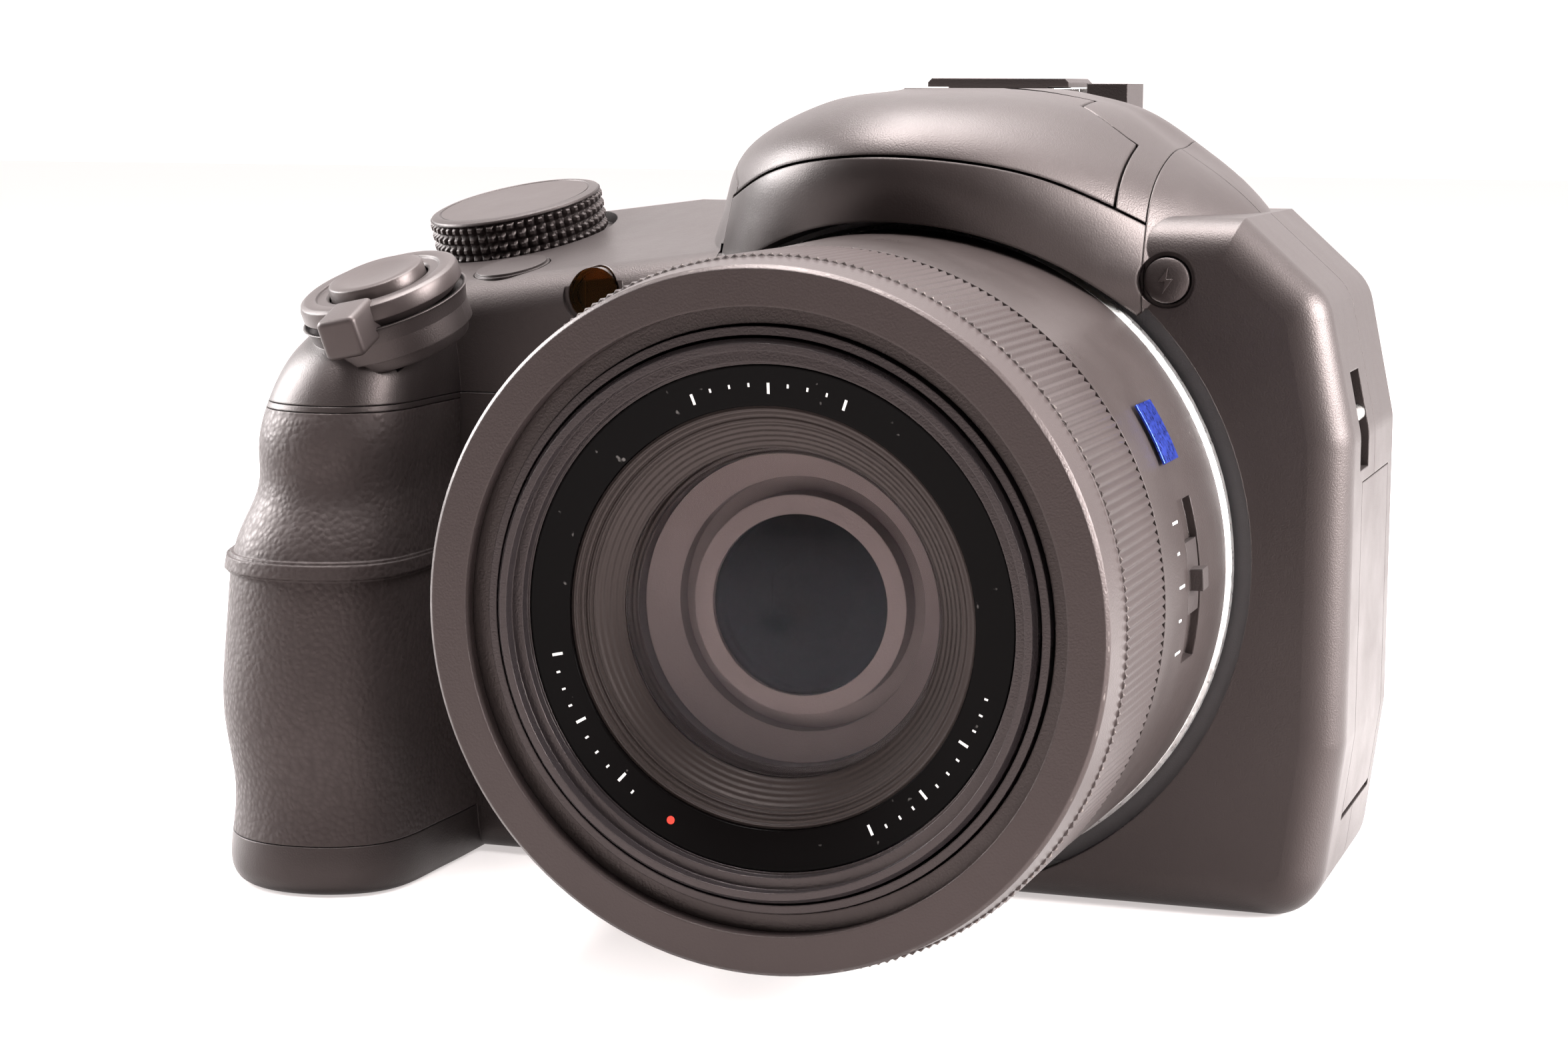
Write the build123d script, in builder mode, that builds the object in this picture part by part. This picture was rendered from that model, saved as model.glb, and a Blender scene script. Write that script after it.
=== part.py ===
from build123d import *
import os
from math import asin, cos, hypot, pi, radians, sin, sqrt

os.makedirs("parts", exist_ok=True)

# A bridge camera with a long zoom lens, a pop-up flash, an eye-level finder and a tilting screen.
# X runs to the right as seen from the front, +Y to the back and +Z up.
# The origin is the mouth of the tripod socket, straight below the lens axis.

# Driving dimensions
body_width = 129.6
body_height = 93.2
body_depth = 103.2
lens_height = 39.5
right_reach = 49.6
rim_reach = 74.0
face_reach = 22.0
back_reach = 14.0
wall = 1.8
rim_radius = 35.5
barrel_radius = 36.6

# Clearances shared by every piece
cover_gap = 0.12
button_gap = 0.15
running_gap = 0.3
slide_gap = 0.25
overrun = 1.0

left_reach = body_width - right_reach
eyecup_reach = body_depth - rim_reach

lens_axis = Axis((0, 0, lens_height), (0, 1, 0))
lens_section = Plane(origin=(0, 0, lens_height), x_dir=(1, 0, 0), z_dir=(0, 0, 1))


# A sketch plane that looks forward, with its own up along Z
def facing_front(y, x=0, z=0):
    return Plane(origin=(x, y, z), x_dir=(1, 0, 0), z_dir=(0, -1, 0))


# Turns an outline of (radius, depth) points round the lens axis
def turned(points, mode=Mode.ADD):
    with BuildSketch(lens_section) as profile:
        with BuildLine():
            Polyline(*points, close=True)
        make_face()
    revolve(profile.sketch, axis=lens_axis, mode=mode)


# The outline of a plain ring between two depths
def ring_points(outer, inner, front, back):
    return [(inner, front), (outer, front), (outer, back), (inner, back)]


# A box from three pairs of limits
def box_between(x, y, z, mode=Mode.ADD):
    with Locations(((x[0] + x[1]) / 2, (y[0] + y[1]) / 2, (z[0] + z[1]) / 2)):
        Box(x[1] - x[0], y[1] - y[0], z[1] - z[0], mode=mode)


# Carries an outline of (y, z) points along X
def side_prism(points, x_from, x_to, mode=Mode.ADD):
    with BuildSketch(Plane(origin=(x_from, 0, 0), x_dir=(0, 1, 0), z_dir=(1, 0, 0))) as profile:
        with BuildLine():
            Polyline(*points, close=True)
        make_face()
    extrude(profile.sketch, amount=x_to - x_from, mode=mode)


# Carries an outline of (x, z) points along Y
def front_prism(points, y_from, y_to, mode=Mode.ADD):
    with BuildSketch(facing_front(y_to)) as profile:
        with BuildLine():
            Polyline(*points, close=True)
        make_face()
    extrude(profile.sketch, amount=y_to - y_from, mode=mode)


# Points of a closed outline whose left front, right front and back each have their own fullness
def egg_points(left, right, front, back, powers):
    points = []
    for step in range(egg_count):
        turn = 2 * pi * step / egg_count
        across, along = cos(turn), sin(turn)
        reach_x = right if across > 0 else left
        reach_y = back if along > 0 else front
        power = powers[2] if along > 0 else (powers[1] if across > 0 else powers[0])
        reach = (abs(across / reach_x) ** power + abs(along / reach_y) ** power) ** (-1 / power)
        points.append((reach * across, reach * along))
    return points


# The casing form is a main block, the grip and the finder hump
egg_count = 24
deck_height = 74.0
deck_from = 50.0
deck_slope_x = 0.13
deck_slope_y = 0.22
block_left = 66.0
block_round = 4.5
block_back_round = 3.0
shoulder_height = 78.0
shoulder_lean = 3.2
shoulder_side = 54.0
shoulder_edge = 69.5
shoulder_inner = 37.0
base_round = 6.0
base_lean = 2.6
base_side = 20.0


# Height of the sloping deck above the table
def deck_level(x, y):
    return deck_height + deck_slope_x * (x + deck_from) + deck_slope_y * y


# A plane that follows the deck's slope, by a share of it where one is given
def deck_plane(x, y, lift=0, level=None, share=1.0):
    slope_x, slope_y = deck_slope_x * share, deck_slope_y * share
    height = deck_level(x, y) + lift if level is None else level
    return Plane(origin=(x, y, height), x_dir=Vector(1, 0, slope_x).normalized(),
                 z_dir=Vector(-slope_x, -slope_y, 1).normalized())


# The main block: its front outline carried back, its deck cut on the slope, its rims rounded
def block_form(inset):
    with BuildPart() as block:
        with BuildSketch(facing_front(back_reach - inset)) as outline:
            with BuildLine():
                Polyline((-block_left, 0), (right_reach - base_lean, 0), (right_reach, base_side),
                         (right_reach, shoulder_side), (right_reach - shoulder_lean, shoulder_edge),
                         (shoulder_inner, shoulder_height), (-block_left, shoulder_height), close=True)
            make_face()
            fillet(outline.vertices().sort_by(Axis.X)[-4:], radius=base_round)
            if inset > 0:
                offset(amount=-inset, kind=Kind.INTERSECTION, mode=Mode.REPLACE)
        extrude(amount=back_reach + face_reach - 2 * inset)
        split(bisect_by=deck_plane(-deck_from, 0, lift=-inset), keep=Keep.BOTTOM)
        front_rim = block.faces().sort_by(Axis.Y)[0].edges()
        fillet(front_rim, radius=block_round - inset)
        back_rim = block.faces().sort_by(Axis.Y)[-1].edges()
        fillet(back_rim, radius=block_back_round - inset)
    return block.part


# The grip: outlines stacked on planes that tilt step by step to the deck's slope
grip_centre_x = 64.0
grip_centre_y = 17.0
grip_left = left_reach - grip_centre_x
grip_right = 10.0
grip_front = 32.0
grip_back = back_reach - block_back_round / 3 + grip_centre_y
grip_powers = (3.0, 3.6, 5.0)
grip_round = 9.0
# Each row: height share of the deck above, inset share of the rounding, tilt share of the deck's slope
grip_level_shares = [(0, 0.22, 0), (0.018, 0.06, 0), (0.05, 0.02, 0), (0.25, 0, 0), (0.45, 0.02, 0.05),
                     (0.57, 0.1, 0.15), (0.68, 0.36, 0.35), (0.78, 0.42, 0.6), (0.87, 0.46, 0.85),
                     (0.93, 0.62, 0.95), (0.972, 0.85, 1), (0.993, 1.15, 1), (1, 1.5, 1)]


def grip_form(inset):
    top = deck_level(-grip_centre_x, -grip_centre_y)
    with BuildPart() as grip:
        for height_share, inset_share, tilt_share in grip_level_shares:
            pull = inset_share * grip_round + inset
            level = inset + height_share * (top - 2 * inset)
            with BuildSketch(deck_plane(-grip_centre_x, -grip_centre_y, level=level, share=tilt_share)):
                with BuildLine():
                    Spline(*egg_points(grip_left - pull, grip_right - pull * 0.5, grip_front - pull,
                                       grip_back - pull * 0.6, grip_powers), periodic=True)
                make_face()
        loft()
    return grip.part


# The finder hump: outlines that close in towards the top, fuller to the right where the shoulder runs out
hump_base = 62.0
hump_top = 92.0
hump_width = 44.0
hump_reach = 36.0
hump_centre_y = 2.0
hump_back = back_reach - block_back_round / 2 - hump_centre_y
hump_powers = (2.0, 1.85, 4.0)
# Each row: height share of the hump's rise, then left, right, front and back shares of its reaches
hump_level_shares = [(0, 0.76, 0.98, 0.84, 1), (0.2, 0.73, 0.97, 0.90, 1), (0.4, 0.68, 0.90, 0.96, 1),
                     (0.55, 0.64, 0.81, 0.99, 1), (0.68, 0.61, 0.71, 1, 1), (0.78, 0.56, 0.61, 0.98, 1),
                     (0.86, 0.48, 0.53, 0.92, 0.99), (0.93, 0.375, 0.44, 0.81, 0.98),
                     (0.975, 0.255, 0.32, 0.64, 0.96), (1, 0.15, 0.20, 0.46, 0.92)]


def hump_form(inset):
    with BuildPart() as hump:
        for height_share, left_share, right_share, front_share, back_share in hump_level_shares:
            level = hump_base + height_share * (hump_top - hump_base - inset)
            with BuildSketch(Plane(origin=(0, hump_centre_y, level))):
                with BuildLine():
                    Spline(*egg_points(hump_width * left_share - inset, hump_width * right_share - inset,
                                       hump_reach * front_share - inset, hump_back * back_share - inset,
                                       hump_powers), periodic=True)
                make_face()
        loft()
    return hump.part


# The three joined, with the round mouth for the lens cut under the hump
lip_radius = 38.0
mouth_radius = 39.3
mouth_floor = 1.9


def casing_form(inset):
    with BuildPart() as casing:
        add(block_form(inset))
        add(grip_form(inset))
        add(hump_form(inset))
        turned(ring_points(lip_radius + inset, 0, -rim_reach, -face_reach), mode=Mode.SUBTRACT)
    return casing.part


outer_form = casing_form(0)
inner_form = casing_form(wall)

# The manual ring: a flat front rim, a smooth band and a band of ribs along the axis
rim_inner = 31.4
rim_thick = 1.9
rim_edge = 0.4
rib_front = 69.4
rib_back = 53.0
rib_radius = 36.4
rib_depth = 0.35
rib_count = 240
ring_bore = 33.6
with BuildPart() as manual_ring:
    turned([(rim_inner, -rim_reach), (rim_radius - rim_edge, -rim_reach), (rim_radius, -rim_reach + rim_edge),
            (rib_radius - rib_depth, -rib_front), (rib_radius - rib_depth, -rib_back),
            (ring_bore, -rib_back), (ring_bore, -rim_reach + rim_thick), (rim_inner, -rim_reach + rim_thick)])
    with BuildSketch(facing_front(-rib_back, z=lens_height)) as ribs:
        with BuildLine():
            rib_turn = 2 * pi / rib_count
            Polyline(*[(radius * cos(turn), radius * sin(turn)) for step in range(rib_count)
                       for radius, turn in ((rib_radius, (step + 0.2) * rib_turn),
                                            (rib_radius - rib_depth, (step + 0.8) * rib_turn))], close=True)
        make_face()
        Circle((ring_bore + rib_radius) / 2, mode=Mode.SUBTRACT)
    extrude(ribs.sketch, amount=rib_front - rib_back)
manual_ring.part.label = "manual_ring"
export_step(manual_ring.part, "parts/manual_ring.step")

# The fixed barrel: an outer shell behind the ring and a sleeve inside it that carries the ring
sleeve_front = 71.75
sleeve_radius = ring_bore - running_gap / 2
sleeve_bore = 29.65
sleeve_wall = 1.6
barrel_front = rib_back - running_gap
barrel_back = 24.2
barrel_flare = 0.3
barrel_wall = 1.8
web_thick = 1.6
with BuildPart() as fixed_barrel:
    turned([(sleeve_bore, -sleeve_front), (sleeve_radius, -sleeve_front), (sleeve_radius, -barrel_front),
            (barrel_radius - barrel_flare, -barrel_front), (barrel_radius + barrel_flare, -barrel_back),
            (barrel_radius + barrel_flare - barrel_wall, -barrel_back),
            (barrel_radius + barrel_flare - barrel_wall, -barrel_front + web_thick),
            (sleeve_bore + sleeve_wall, -barrel_front + web_thick), (sleeve_bore + sleeve_wall, -barrel_back),
            (sleeve_bore, -barrel_back)])


# A sector turned round the lens axis, from a start angle above the right-hand side downwards
def arc_turned(points, start, sweep, mode=Mode.ADD):
    start_turn = radians(start)
    section = Plane(origin=(0, 0, lens_height), x_dir=(cos(start_turn), 0, sin(start_turn)),
                    z_dir=(-sin(start_turn), 0, cos(start_turn)))
    with BuildSketch(section) as profile:
        with BuildLine():
            Polyline(*points, close=True)
        make_face()
    revolve(profile.sketch, axis=lens_axis, revolution_arc=sweep, mode=mode)


# The focus switch slides round the barrel in a shallow pocket on its right
switch_front = 42.6
switch_back = 36.8
pocket_depth = 0.9
pocket_start = 16.0
pocket_sweep = 27.0
with fixed_barrel:
    arc_turned(ring_points(barrel_radius + overrun, barrel_radius - pocket_depth,
                           -switch_front, -switch_back),
               pocket_start, pocket_sweep, Mode.SUBTRACT)
fixed_barrel.part.label = "fixed_barrel"
export_step(fixed_barrel.part, "parts/fixed_barrel.step")

switch_start = 9.0
switch_sweep = 12.0
knob_high = 1.3
knob_start = 4.5
knob_sweep = 3.5
with BuildPart() as focus_switch:
    plate_radius = barrel_radius - slide_gap / 2
    arc_turned(ring_points(plate_radius, barrel_radius - pocket_depth + slide_gap / 4,
                           -switch_front + slide_gap, -switch_back - slide_gap), switch_start, switch_sweep)
    arc_turned(ring_points(barrel_radius + knob_high, plate_radius - slide_gap, -switch_front + overrun,
                           -switch_back - 2 * overrun), knob_start, knob_sweep)
focus_switch.part.label = "focus_switch"
export_step(focus_switch.part, "parts/focus_switch.step")

# A small bare plate let into the barrel above the switch
plate_start = 33.0
plate_sweep = 10.5
plate_front = 44.8
plate_back = 38.2
plate_thick = 0.5
with BuildPart() as barrel_plate:
    arc_turned(ring_points(barrel_radius + plate_thick, barrel_radius + slide_gap, -plate_front, -plate_back),
               plate_start, plate_sweep)
barrel_plate.part.label = "barrel_plate"
export_step(barrel_plate.part, "parts/barrel_plate.step")

# The bright ring where the barrel meets the casing, held on the lens base's spigot
trim_bore = barrel_radius + barrel_flare - barrel_wall + cover_gap
trim_radius = 37.35
trim_lip = 0.45
trim_back = 21.8
with BuildPart() as lens_ring_trim:
    turned([(trim_bore, -barrel_back + cover_gap), (trim_radius - trim_lip, -barrel_back + cover_gap),
            (trim_radius, -barrel_back + 2 * trim_lip), (trim_radius, -trim_back), (trim_bore, -trim_back)])
lens_ring_trim.part.label = "lens_ring_trim"
export_step(lens_ring_trim.part, "parts/lens_ring_trim.step")

# The lens base: a spigot for the fixed barrel, a flange behind the casing's mouth and a cup for the sensor
flange_radius = 39.6
flange_thick = 1.8
spigot_reach = 6.4
spigot_wall = 1.8
cup_radius = 26.0
cup_wall = 2.0
cup_back = 5.6
foot_radius = 3.0
foot_circle = 35.0
chassis_front = 3.6
window_width = 9.0
window_height = 7.0
flange_front = face_reach - wall
with BuildPart() as lens_base:
    spigot_radius = trim_bore - 2 * cover_gap
    turned([(cup_radius - cup_wall, -flange_front), (spigot_radius - spigot_wall, -flange_front),
            (spigot_radius - spigot_wall, -flange_front - spigot_reach),
            (spigot_radius, -flange_front - spigot_reach), (spigot_radius, -flange_front),
            (flange_radius, -flange_front), (flange_radius, -flange_front + flange_thick),
            (cup_radius, -flange_front + flange_thick), (cup_radius, -cup_back), (0, -cup_back),
            (0, -cup_back - cup_wall), (cup_radius - cup_wall, -cup_back - cup_wall)])
    with BuildSketch(facing_front(-chassis_front, z=lens_height)) as feet:
        with PolarLocations(foot_circle, 3, start_angle=90):
            Circle(foot_radius)
    extrude(feet.sketch, amount=flange_front - flange_thick - chassis_front)
    box_between((-flange_radius, flange_radius), (-flange_front - overrun, 0),
                (-flange_radius, block_round + cover_gap), Mode.SUBTRACT)
    with BuildSketch(facing_front(0, z=lens_height)) as window:
        Rectangle(window_width, window_height)
    extrude(window.sketch, amount=cup_back + cup_wall + overrun, mode=Mode.SUBTRACT)
lens_base.part.label = "lens_base"
export_step(lens_base.part, "parts/lens_base.step")

# The image sensor looks through the window of the cup, on a board behind it
board_width = 18.0
board_high = 14.0
board_thick = 1.2
chip_reach = 1.1
with BuildPart() as image_sensor:
    with BuildSketch(facing_front(-cup_back + board_thick, z=lens_height)) as board:
        Rectangle(board_width, board_high)
    extrude(board.sketch, amount=board_thick)
    with BuildSketch(facing_front(-cup_back, z=lens_height)) as chip:
        Rectangle(window_width - 2 * slide_gap, window_height - 2 * slide_gap)
    extrude(chip.sketch, amount=chip_reach)
image_sensor.part.label = "image_sensor"
export_step(image_sensor.part, "parts/image_sensor.step")

# The first moving barrel slides in the sleeve, the second slides in the first
middle_radius = sleeve_bore - slide_gap
middle_wall = 0.85
middle_front = 72.6
middle_back = 27.0
with BuildPart() as middle_barrel:
    turned(ring_points(middle_radius, middle_radius - middle_wall, -middle_front, -middle_back))
middle_barrel.part.label = "middle_barrel"
export_step(middle_barrel.part, "parts/middle_barrel.step")

front_radius = middle_radius - middle_wall - slide_gap * 1.2
front_wall = 1.1
front_edge = 72.9
front_face = 73.6
face_inner = 27.05
step_radius = 25.85
step_front = 72.2
name_radius = 25.45
name_front = 71.0
name_inner_front = 70.5
name_inner = 21.4
name_back = 69.1
ledge_radius = 24.5
ledge_back = 67.6
front_back = 31.0
with BuildPart() as front_barrel:
    turned([(front_radius, -front_edge), (front_radius - trim_lip, -front_face), (face_inner, -front_face),
            (face_inner, -step_front), (step_radius, -step_front), (step_radius, -name_front),
            (name_radius + cover_gap, -name_front), (name_radius + cover_gap, -name_back),
            (ledge_radius, -name_back), (ledge_radius, -ledge_back), (front_radius - front_wall, -ledge_back),
            (front_radius - front_wall, -front_back), (front_radius, -front_back)])
front_barrel.part.label = "front_barrel"
export_step(front_barrel.part, "parts/front_barrel.step")

with BuildPart() as name_ring:
    turned([(name_inner, -name_inner_front), (name_radius, -name_front), (name_radius, -name_back),
            (name_inner, -name_back)])
name_ring.part.label = "name_ring"
export_step(name_ring.part, "parts/name_ring.step")

# The funnel baffle: a stepped cone down to the front glass, then a tube that carries the inner cell
glass_radius = 17.3
glass_front = 66.5
glass_back = 64.4
cone_end_radius = 17.6
cone_end = 67.1
ridge_count = 6
ridge_end_share = 0.58
bore_radius = 16.0
baffle_outer = 19.2
baffle_back = 57.0
with BuildPart() as baffle_ring:
    cone_start = (name_inner - cover_gap / 2, -name_inner_front + cover_gap)
    ridge_run = (cone_end_radius - cone_start[0], -cone_end - cone_start[1])
    ridges = []
    for step in range(ridge_count):
        share = ridge_end_share * step / ridge_count
        next_share = ridge_end_share * (step + 1) / ridge_count
        ridges.append((cone_start[0] + ridge_run[0] * share, cone_start[1] + ridge_run[1] * share))
        ridges.append((cone_start[0] + ridge_run[0] * share, cone_start[1] + ridge_run[1] * next_share))
    turned([*ridges, (cone_end_radius, -cone_end), (glass_radius - trim_lip, -cone_end + trim_lip),
            (glass_radius - trim_lip, -glass_front), (glass_radius + cover_gap, -glass_front),
            (glass_radius + cover_gap, -glass_back), (bore_radius, -glass_back), (bore_radius, -baffle_back),
            (baffle_outer, -baffle_back), (baffle_outer, -ledge_back),
            (ledge_radius - cover_gap, -ledge_back),
            (ledge_radius - cover_gap, -name_back + cover_gap / 2),
            (name_inner - cover_gap / 2, -name_back + cover_gap / 2)])
baffle_ring.part.label = "baffle_ring"
export_step(baffle_ring.part, "parts/baffle_ring.step")


# A lens element: a disc with a bulging front, its rim between two depths
def glass_disc(radius, vertex, rim_front, rim_back):
    bulge = vertex - rim_front
    with BuildSketch(lens_section) as profile:
        with BuildLine():
            Line((0, -vertex), (0, -rim_back))
            Line((0, -rim_back), (radius, -rim_back))
            Line((radius, -rim_back), (radius, -rim_front))
            ball = (radius ** 2 + bulge ** 2) / (2 * bulge)
            half_turn = asin(radius / ball) / 2
            ThreePointArc((radius, -rim_front),
                          (ball * sin(half_turn), -vertex + ball * (1 - cos(half_turn))), (0, -vertex))
        make_face()
    revolve(profile.sketch, axis=lens_axis)


glass_bulge = 1.3
with BuildPart() as front_glass:
    glass_disc(glass_radius - trim_lip - cover_gap, glass_front + glass_bulge, glass_front + cover_gap,
               glass_front)
    turned(ring_points(glass_radius, 0, -glass_front + cover_gap / 2, -glass_back - cover_gap / 2))
    turned(ring_points(glass_radius - trim_lip - cover_gap, 0, -glass_front, -glass_front + cover_gap))
front_glass.part.label = "front_glass"
export_step(front_glass.part, "parts/front_glass.step")

cell_front = 62.4
cell_slope_radius = 13.1
cell_slope = 59.8
groove_radius = 11.3
groove_back = 57.6
collar_front = 60.4
cell_bore = 9.3
cell_back = 54.6
with BuildPart() as lens_cell:
    cell_radius = bore_radius - cover_gap / 2
    turned([(cell_radius, -cell_front), (cell_slope_radius, -cell_slope), (cell_slope_radius, -groove_back),
            (groove_radius, -groove_back), (groove_radius, -collar_front), (cell_bore, -collar_front),
            (cell_bore, -cell_back), (cell_radius, -cell_back)])
lens_cell.part.label = "lens_cell"
export_step(lens_cell.part, "parts/lens_cell.step")

second_front = 59.9
second_back = 57.4
with BuildPart() as second_glass:
    glass_disc(cell_bore - cover_gap / 2, second_front + trim_lip, second_front, second_back)
second_glass.part.label = "second_glass"
export_step(second_glass.part, "parts/second_glass.step")

iris_front = 56.0
iris_thick = 0.6
iris_hole = 4.8
iris_sides = 7
with BuildPart() as iris_plate:
    with BuildSketch(facing_front(-iris_front + iris_thick, z=lens_height)) as iris:
        Circle(cell_bore - cover_gap / 2)
        RegularPolygon(iris_hole, iris_sides, mode=Mode.SUBTRACT)
    extrude(iris.sketch, amount=iris_thick)
iris_plate.part.label = "iris_plate"
export_step(iris_plate.part, "parts/iris_plate.step")

# The casing's skin, and the zones that share it out among the covers
with BuildPart() as skin_form:
    add(outer_form)
    add(inner_form, mode=Mode.SUBTRACT)

front_split = 3.0
cap_height = 56.0
deck_end = 24.0
hump_end = 26.5
hump_seam = 74.0
above = body_height + overrun
outside = body_width
band_back = 19.5
band_low = 64.0
seam_back = 14.5
seam_low = 70.5
# The arched seam between the flash head and the band: shares of half the band's width and of its rise
arch_rise = 7.4
arch_top = 84.8
arch_shares = [(-1, 0.12), (-0.84, 0.30), (-0.6, 0.68), (-0.3, 0.93), (0, 1), (0.3, 0.93), (0.6, 0.70),
               (0.84, 0.32), (1, 0)]
arch_points = [(hump_end * across, arch_top - arch_rise * (1 - up)) for across, up in arch_shares]


# A prism bounded by the arched seam, below it or above it
def arch_prism(far_level, drop=0):
    with BuildPart() as prism:
        with BuildSketch(facing_front(outside)) as outline:
            with BuildLine():
                line = Spline(*[(x, z - drop) for x, z in arch_points])
                Polyline(line @ 1, (outside, (line @ 1).Y), (outside, far_level), (-outside, far_level),
                         (-outside, (line @ 0).Y), line @ 0)
            make_face()
        extrude(amount=2 * outside)
    return prism.part


# The flash head takes the hump above the arch. At its sides it ends on a curve round its hinge line
hinge_y = -8.0
hinge_z = 86.5
head_round = 5.4
head_half = 16.5
head_gap = 0.3
head_back = 21.0
head_right = 23.3
head_step = 81.0
side_round = 4.6
side_start = 200
side_end = 90
side_steps = 6
flash_travel = 48


def head_zone(gap):
    curl = []
    for step in range(side_steps + 1):
        turn = radians(side_start + (side_end - side_start) * step / side_steps)
        curl.append((hinge_y + (side_round - gap) * cos(turn), hinge_z + (side_round - gap) * sin(turn)))
    with BuildPart() as zone:
        side_prism([(-rim_reach, band_low), (-head_back + gap, band_low), (-head_back + gap, head_step - gap),
                    *curl, (hinge_y, above), (-rim_reach, above)], -outside, head_right + gap)
        add(arch_prism(above, drop=gap), mode=Mode.INTERSECT)
    return zone.part


# The round recess in which the head's hinge end turns
def hinge_roll(radius, half, mode=Mode.ADD):
    with BuildSketch(Plane(origin=(-half, hinge_y, hinge_z), x_dir=(0, 1, 0), z_dir=(1, 0, 0))) as end:
        Circle(radius)
    extrude(end.sketch, amount=2 * half, mode=mode)


# Its window looks down and forward while it is shut, and straight ahead once it is up
pin_radius = 0.9
pin_reach = 5.0
lug_thick = 2.0
block_half = 10.5
block_front = 28.0
block_turn = 23.6
block_back = 20.9
block_low = 80.6
block_top = 85.4
window_deep = 0.9
window_edge = 0.8
window_lean = Plane(origin=(0, -(block_front + block_turn) / 2, (arch_top + block_low) / 2),
                    x_dir=(1, 0, 0), z_dir=(0, block_low - arch_top, block_turn - block_front))
window_run = hypot(arch_top - block_low, block_front - block_turn) - 2 * window_edge
with BuildPart() as flash_head:
    add(outer_form)
    add(head_zone(0), mode=Mode.INTERSECT)
    with BuildPart(mode=Mode.PRIVATE) as knuckle:
        hinge_roll(head_round, head_half)
        add(outer_form, mode=Mode.INTERSECT)
    add(knuckle.part)
    side_prism([(-block_front, block_top), (-block_front, arch_top), (-block_turn, block_low),
                (-block_back, block_low), (-block_back, block_top)], -block_half, block_half)
    hinge_roll(pin_radius + slide_gap / 4, head_half + overrun, Mode.SUBTRACT)
    with BuildSketch(window_lean) as window:
        Rectangle(2 * (block_half - window_edge), window_run)
    extrude(window.sketch, amount=-window_deep, mode=Mode.SUBTRACT)
flash_head.part.label = "flash_head"
export_step(flash_head.part, "parts/flash_head.step")

with BuildPart() as flash_window:
    with BuildSketch(window_lean.offset(-window_deep + cover_gap / 2)) as window:
        Rectangle(2 * (block_half - window_edge - cover_gap), window_run - 2 * cover_gap)
    extrude(window.sketch, amount=window_deep)
flash_window.part.label = "flash_window"
export_step(flash_window.part, "parts/flash_window.step")

with BuildPart() as flash_pins:
    for side in (-1, 1):
        start = side * (head_half - pin_reach)
        with BuildSketch(Plane(origin=(start, hinge_y, hinge_z), x_dir=(0, 1, 0), z_dir=(side, 0, 0))) as end:
            Circle(pin_radius)
        extrude(end.sketch, amount=pin_reach + head_gap + lug_thick)
flash_pins.part.label = "flash_pins"
export_step(flash_pins.part, "parts/flash_pins.step")


# The casing's mouth, which stops short of its floor
def mouth_cut():
    with BuildPart(mode=Mode.PRIVATE) as mouth:
        turned(ring_points(mouth_radius, 0, -face_reach, -flange_front + overrun))
        box_between((-outside, outside), (-rim_reach, outside), (-overrun, mouth_floor), Mode.SUBTRACT)
    add(mouth.part, mode=Mode.SUBTRACT)


# The glossy band under the arch, with the lip over the lens
with BuildPart() as front_band:
    add(skin_form.part)
    box_between((-deck_end, hump_end), (-rim_reach, -band_back), (band_low, above), Mode.INTERSECT)
    add(arch_prism(band_low - overrun, drop=head_gap), mode=Mode.INTERSECT)
    mouth_cut()

# The room of the top cover, its deck and the hump behind the band, grown by a margin
def top_room(margin):
    box_between((-outside, -deck_end + margin), (-outside, outside), (cap_height - margin, above))
    box_between((-deck_end - overrun, hump_end + margin), (-outside, outside), (hump_seam - margin, above))


half_gap = cover_gap / 2
with BuildPart() as top_cover:
    add(skin_form.part)
    with BuildPart(mode=Mode.PRIVATE) as room:
        top_room(-half_gap)
    add(room.part, mode=Mode.INTERSECT)
    with BuildPart(mode=Mode.PRIVATE) as band_room:
        add(arch_prism(band_low))
        box_between((-deck_end - half_gap, hump_end + half_gap), (-outside, -band_back + cover_gap),
                    (band_low, above), Mode.INTERSECT)
    add(band_room.part, mode=Mode.SUBTRACT)
    add(head_zone(head_gap), mode=Mode.SUBTRACT)
    hinge_roll(head_round + head_gap, head_half + head_gap, Mode.SUBTRACT)
    # The rim of the recess is cut back where the raised head leans on it
    open_turn = radians(flash_travel)
    touch_y = hinge_y + (head_round + head_gap) * sin(open_turn)
    touch_z = hinge_z + (head_round + head_gap) * cos(open_turn)
    side_prism([(hinge_y, hinge_z), (touch_y, touch_z),
                (touch_y - head_half * cos(open_turn), touch_z + head_half * sin(open_turn))],
               -head_half - head_gap, head_half + head_gap, Mode.SUBTRACT)
    mouth_cut()

with BuildPart() as front_cover:
    add(skin_form.part)
    box_between((-outside, outside), (-rim_reach, -front_split - half_gap), (-overrun, above), Mode.INTERSECT)
    with BuildPart(mode=Mode.PRIVATE) as room:
        top_room(half_gap)
        box_between((-deck_end - half_gap, hump_end + half_gap), (-outside, -band_back + cover_gap),
                    (band_low - half_gap, above))
        box_between((-deck_end - half_gap, 0), (-outside, -seam_back), (seam_low, above))
    add(room.part, mode=Mode.SUBTRACT)
    mouth_cut()

with BuildPart() as rear_cover:
    add(skin_form.part)
    box_between((-outside, outside), (-front_split + half_gap, outside), (-overrun, above), Mode.INTERSECT)
    with BuildPart(mode=Mode.PRIVATE) as room:
        top_room(half_gap)
    add(room.part, mode=Mode.SUBTRACT)


# A cylinder on a plane, between two lifts above it
def plug(plane, radius, low, high, mode=Mode.ADD):
    with BuildSketch(plane.offset(low)) as disc:
        Circle(radius)
    extrude(disc.sketch, amount=high - low, mode=mode)


# A push button: a cap that stands through the wall and a keeper rim below it
keeper_lip = 0.5
keeper_thick = 0.8
button_edge = 0.3


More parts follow.
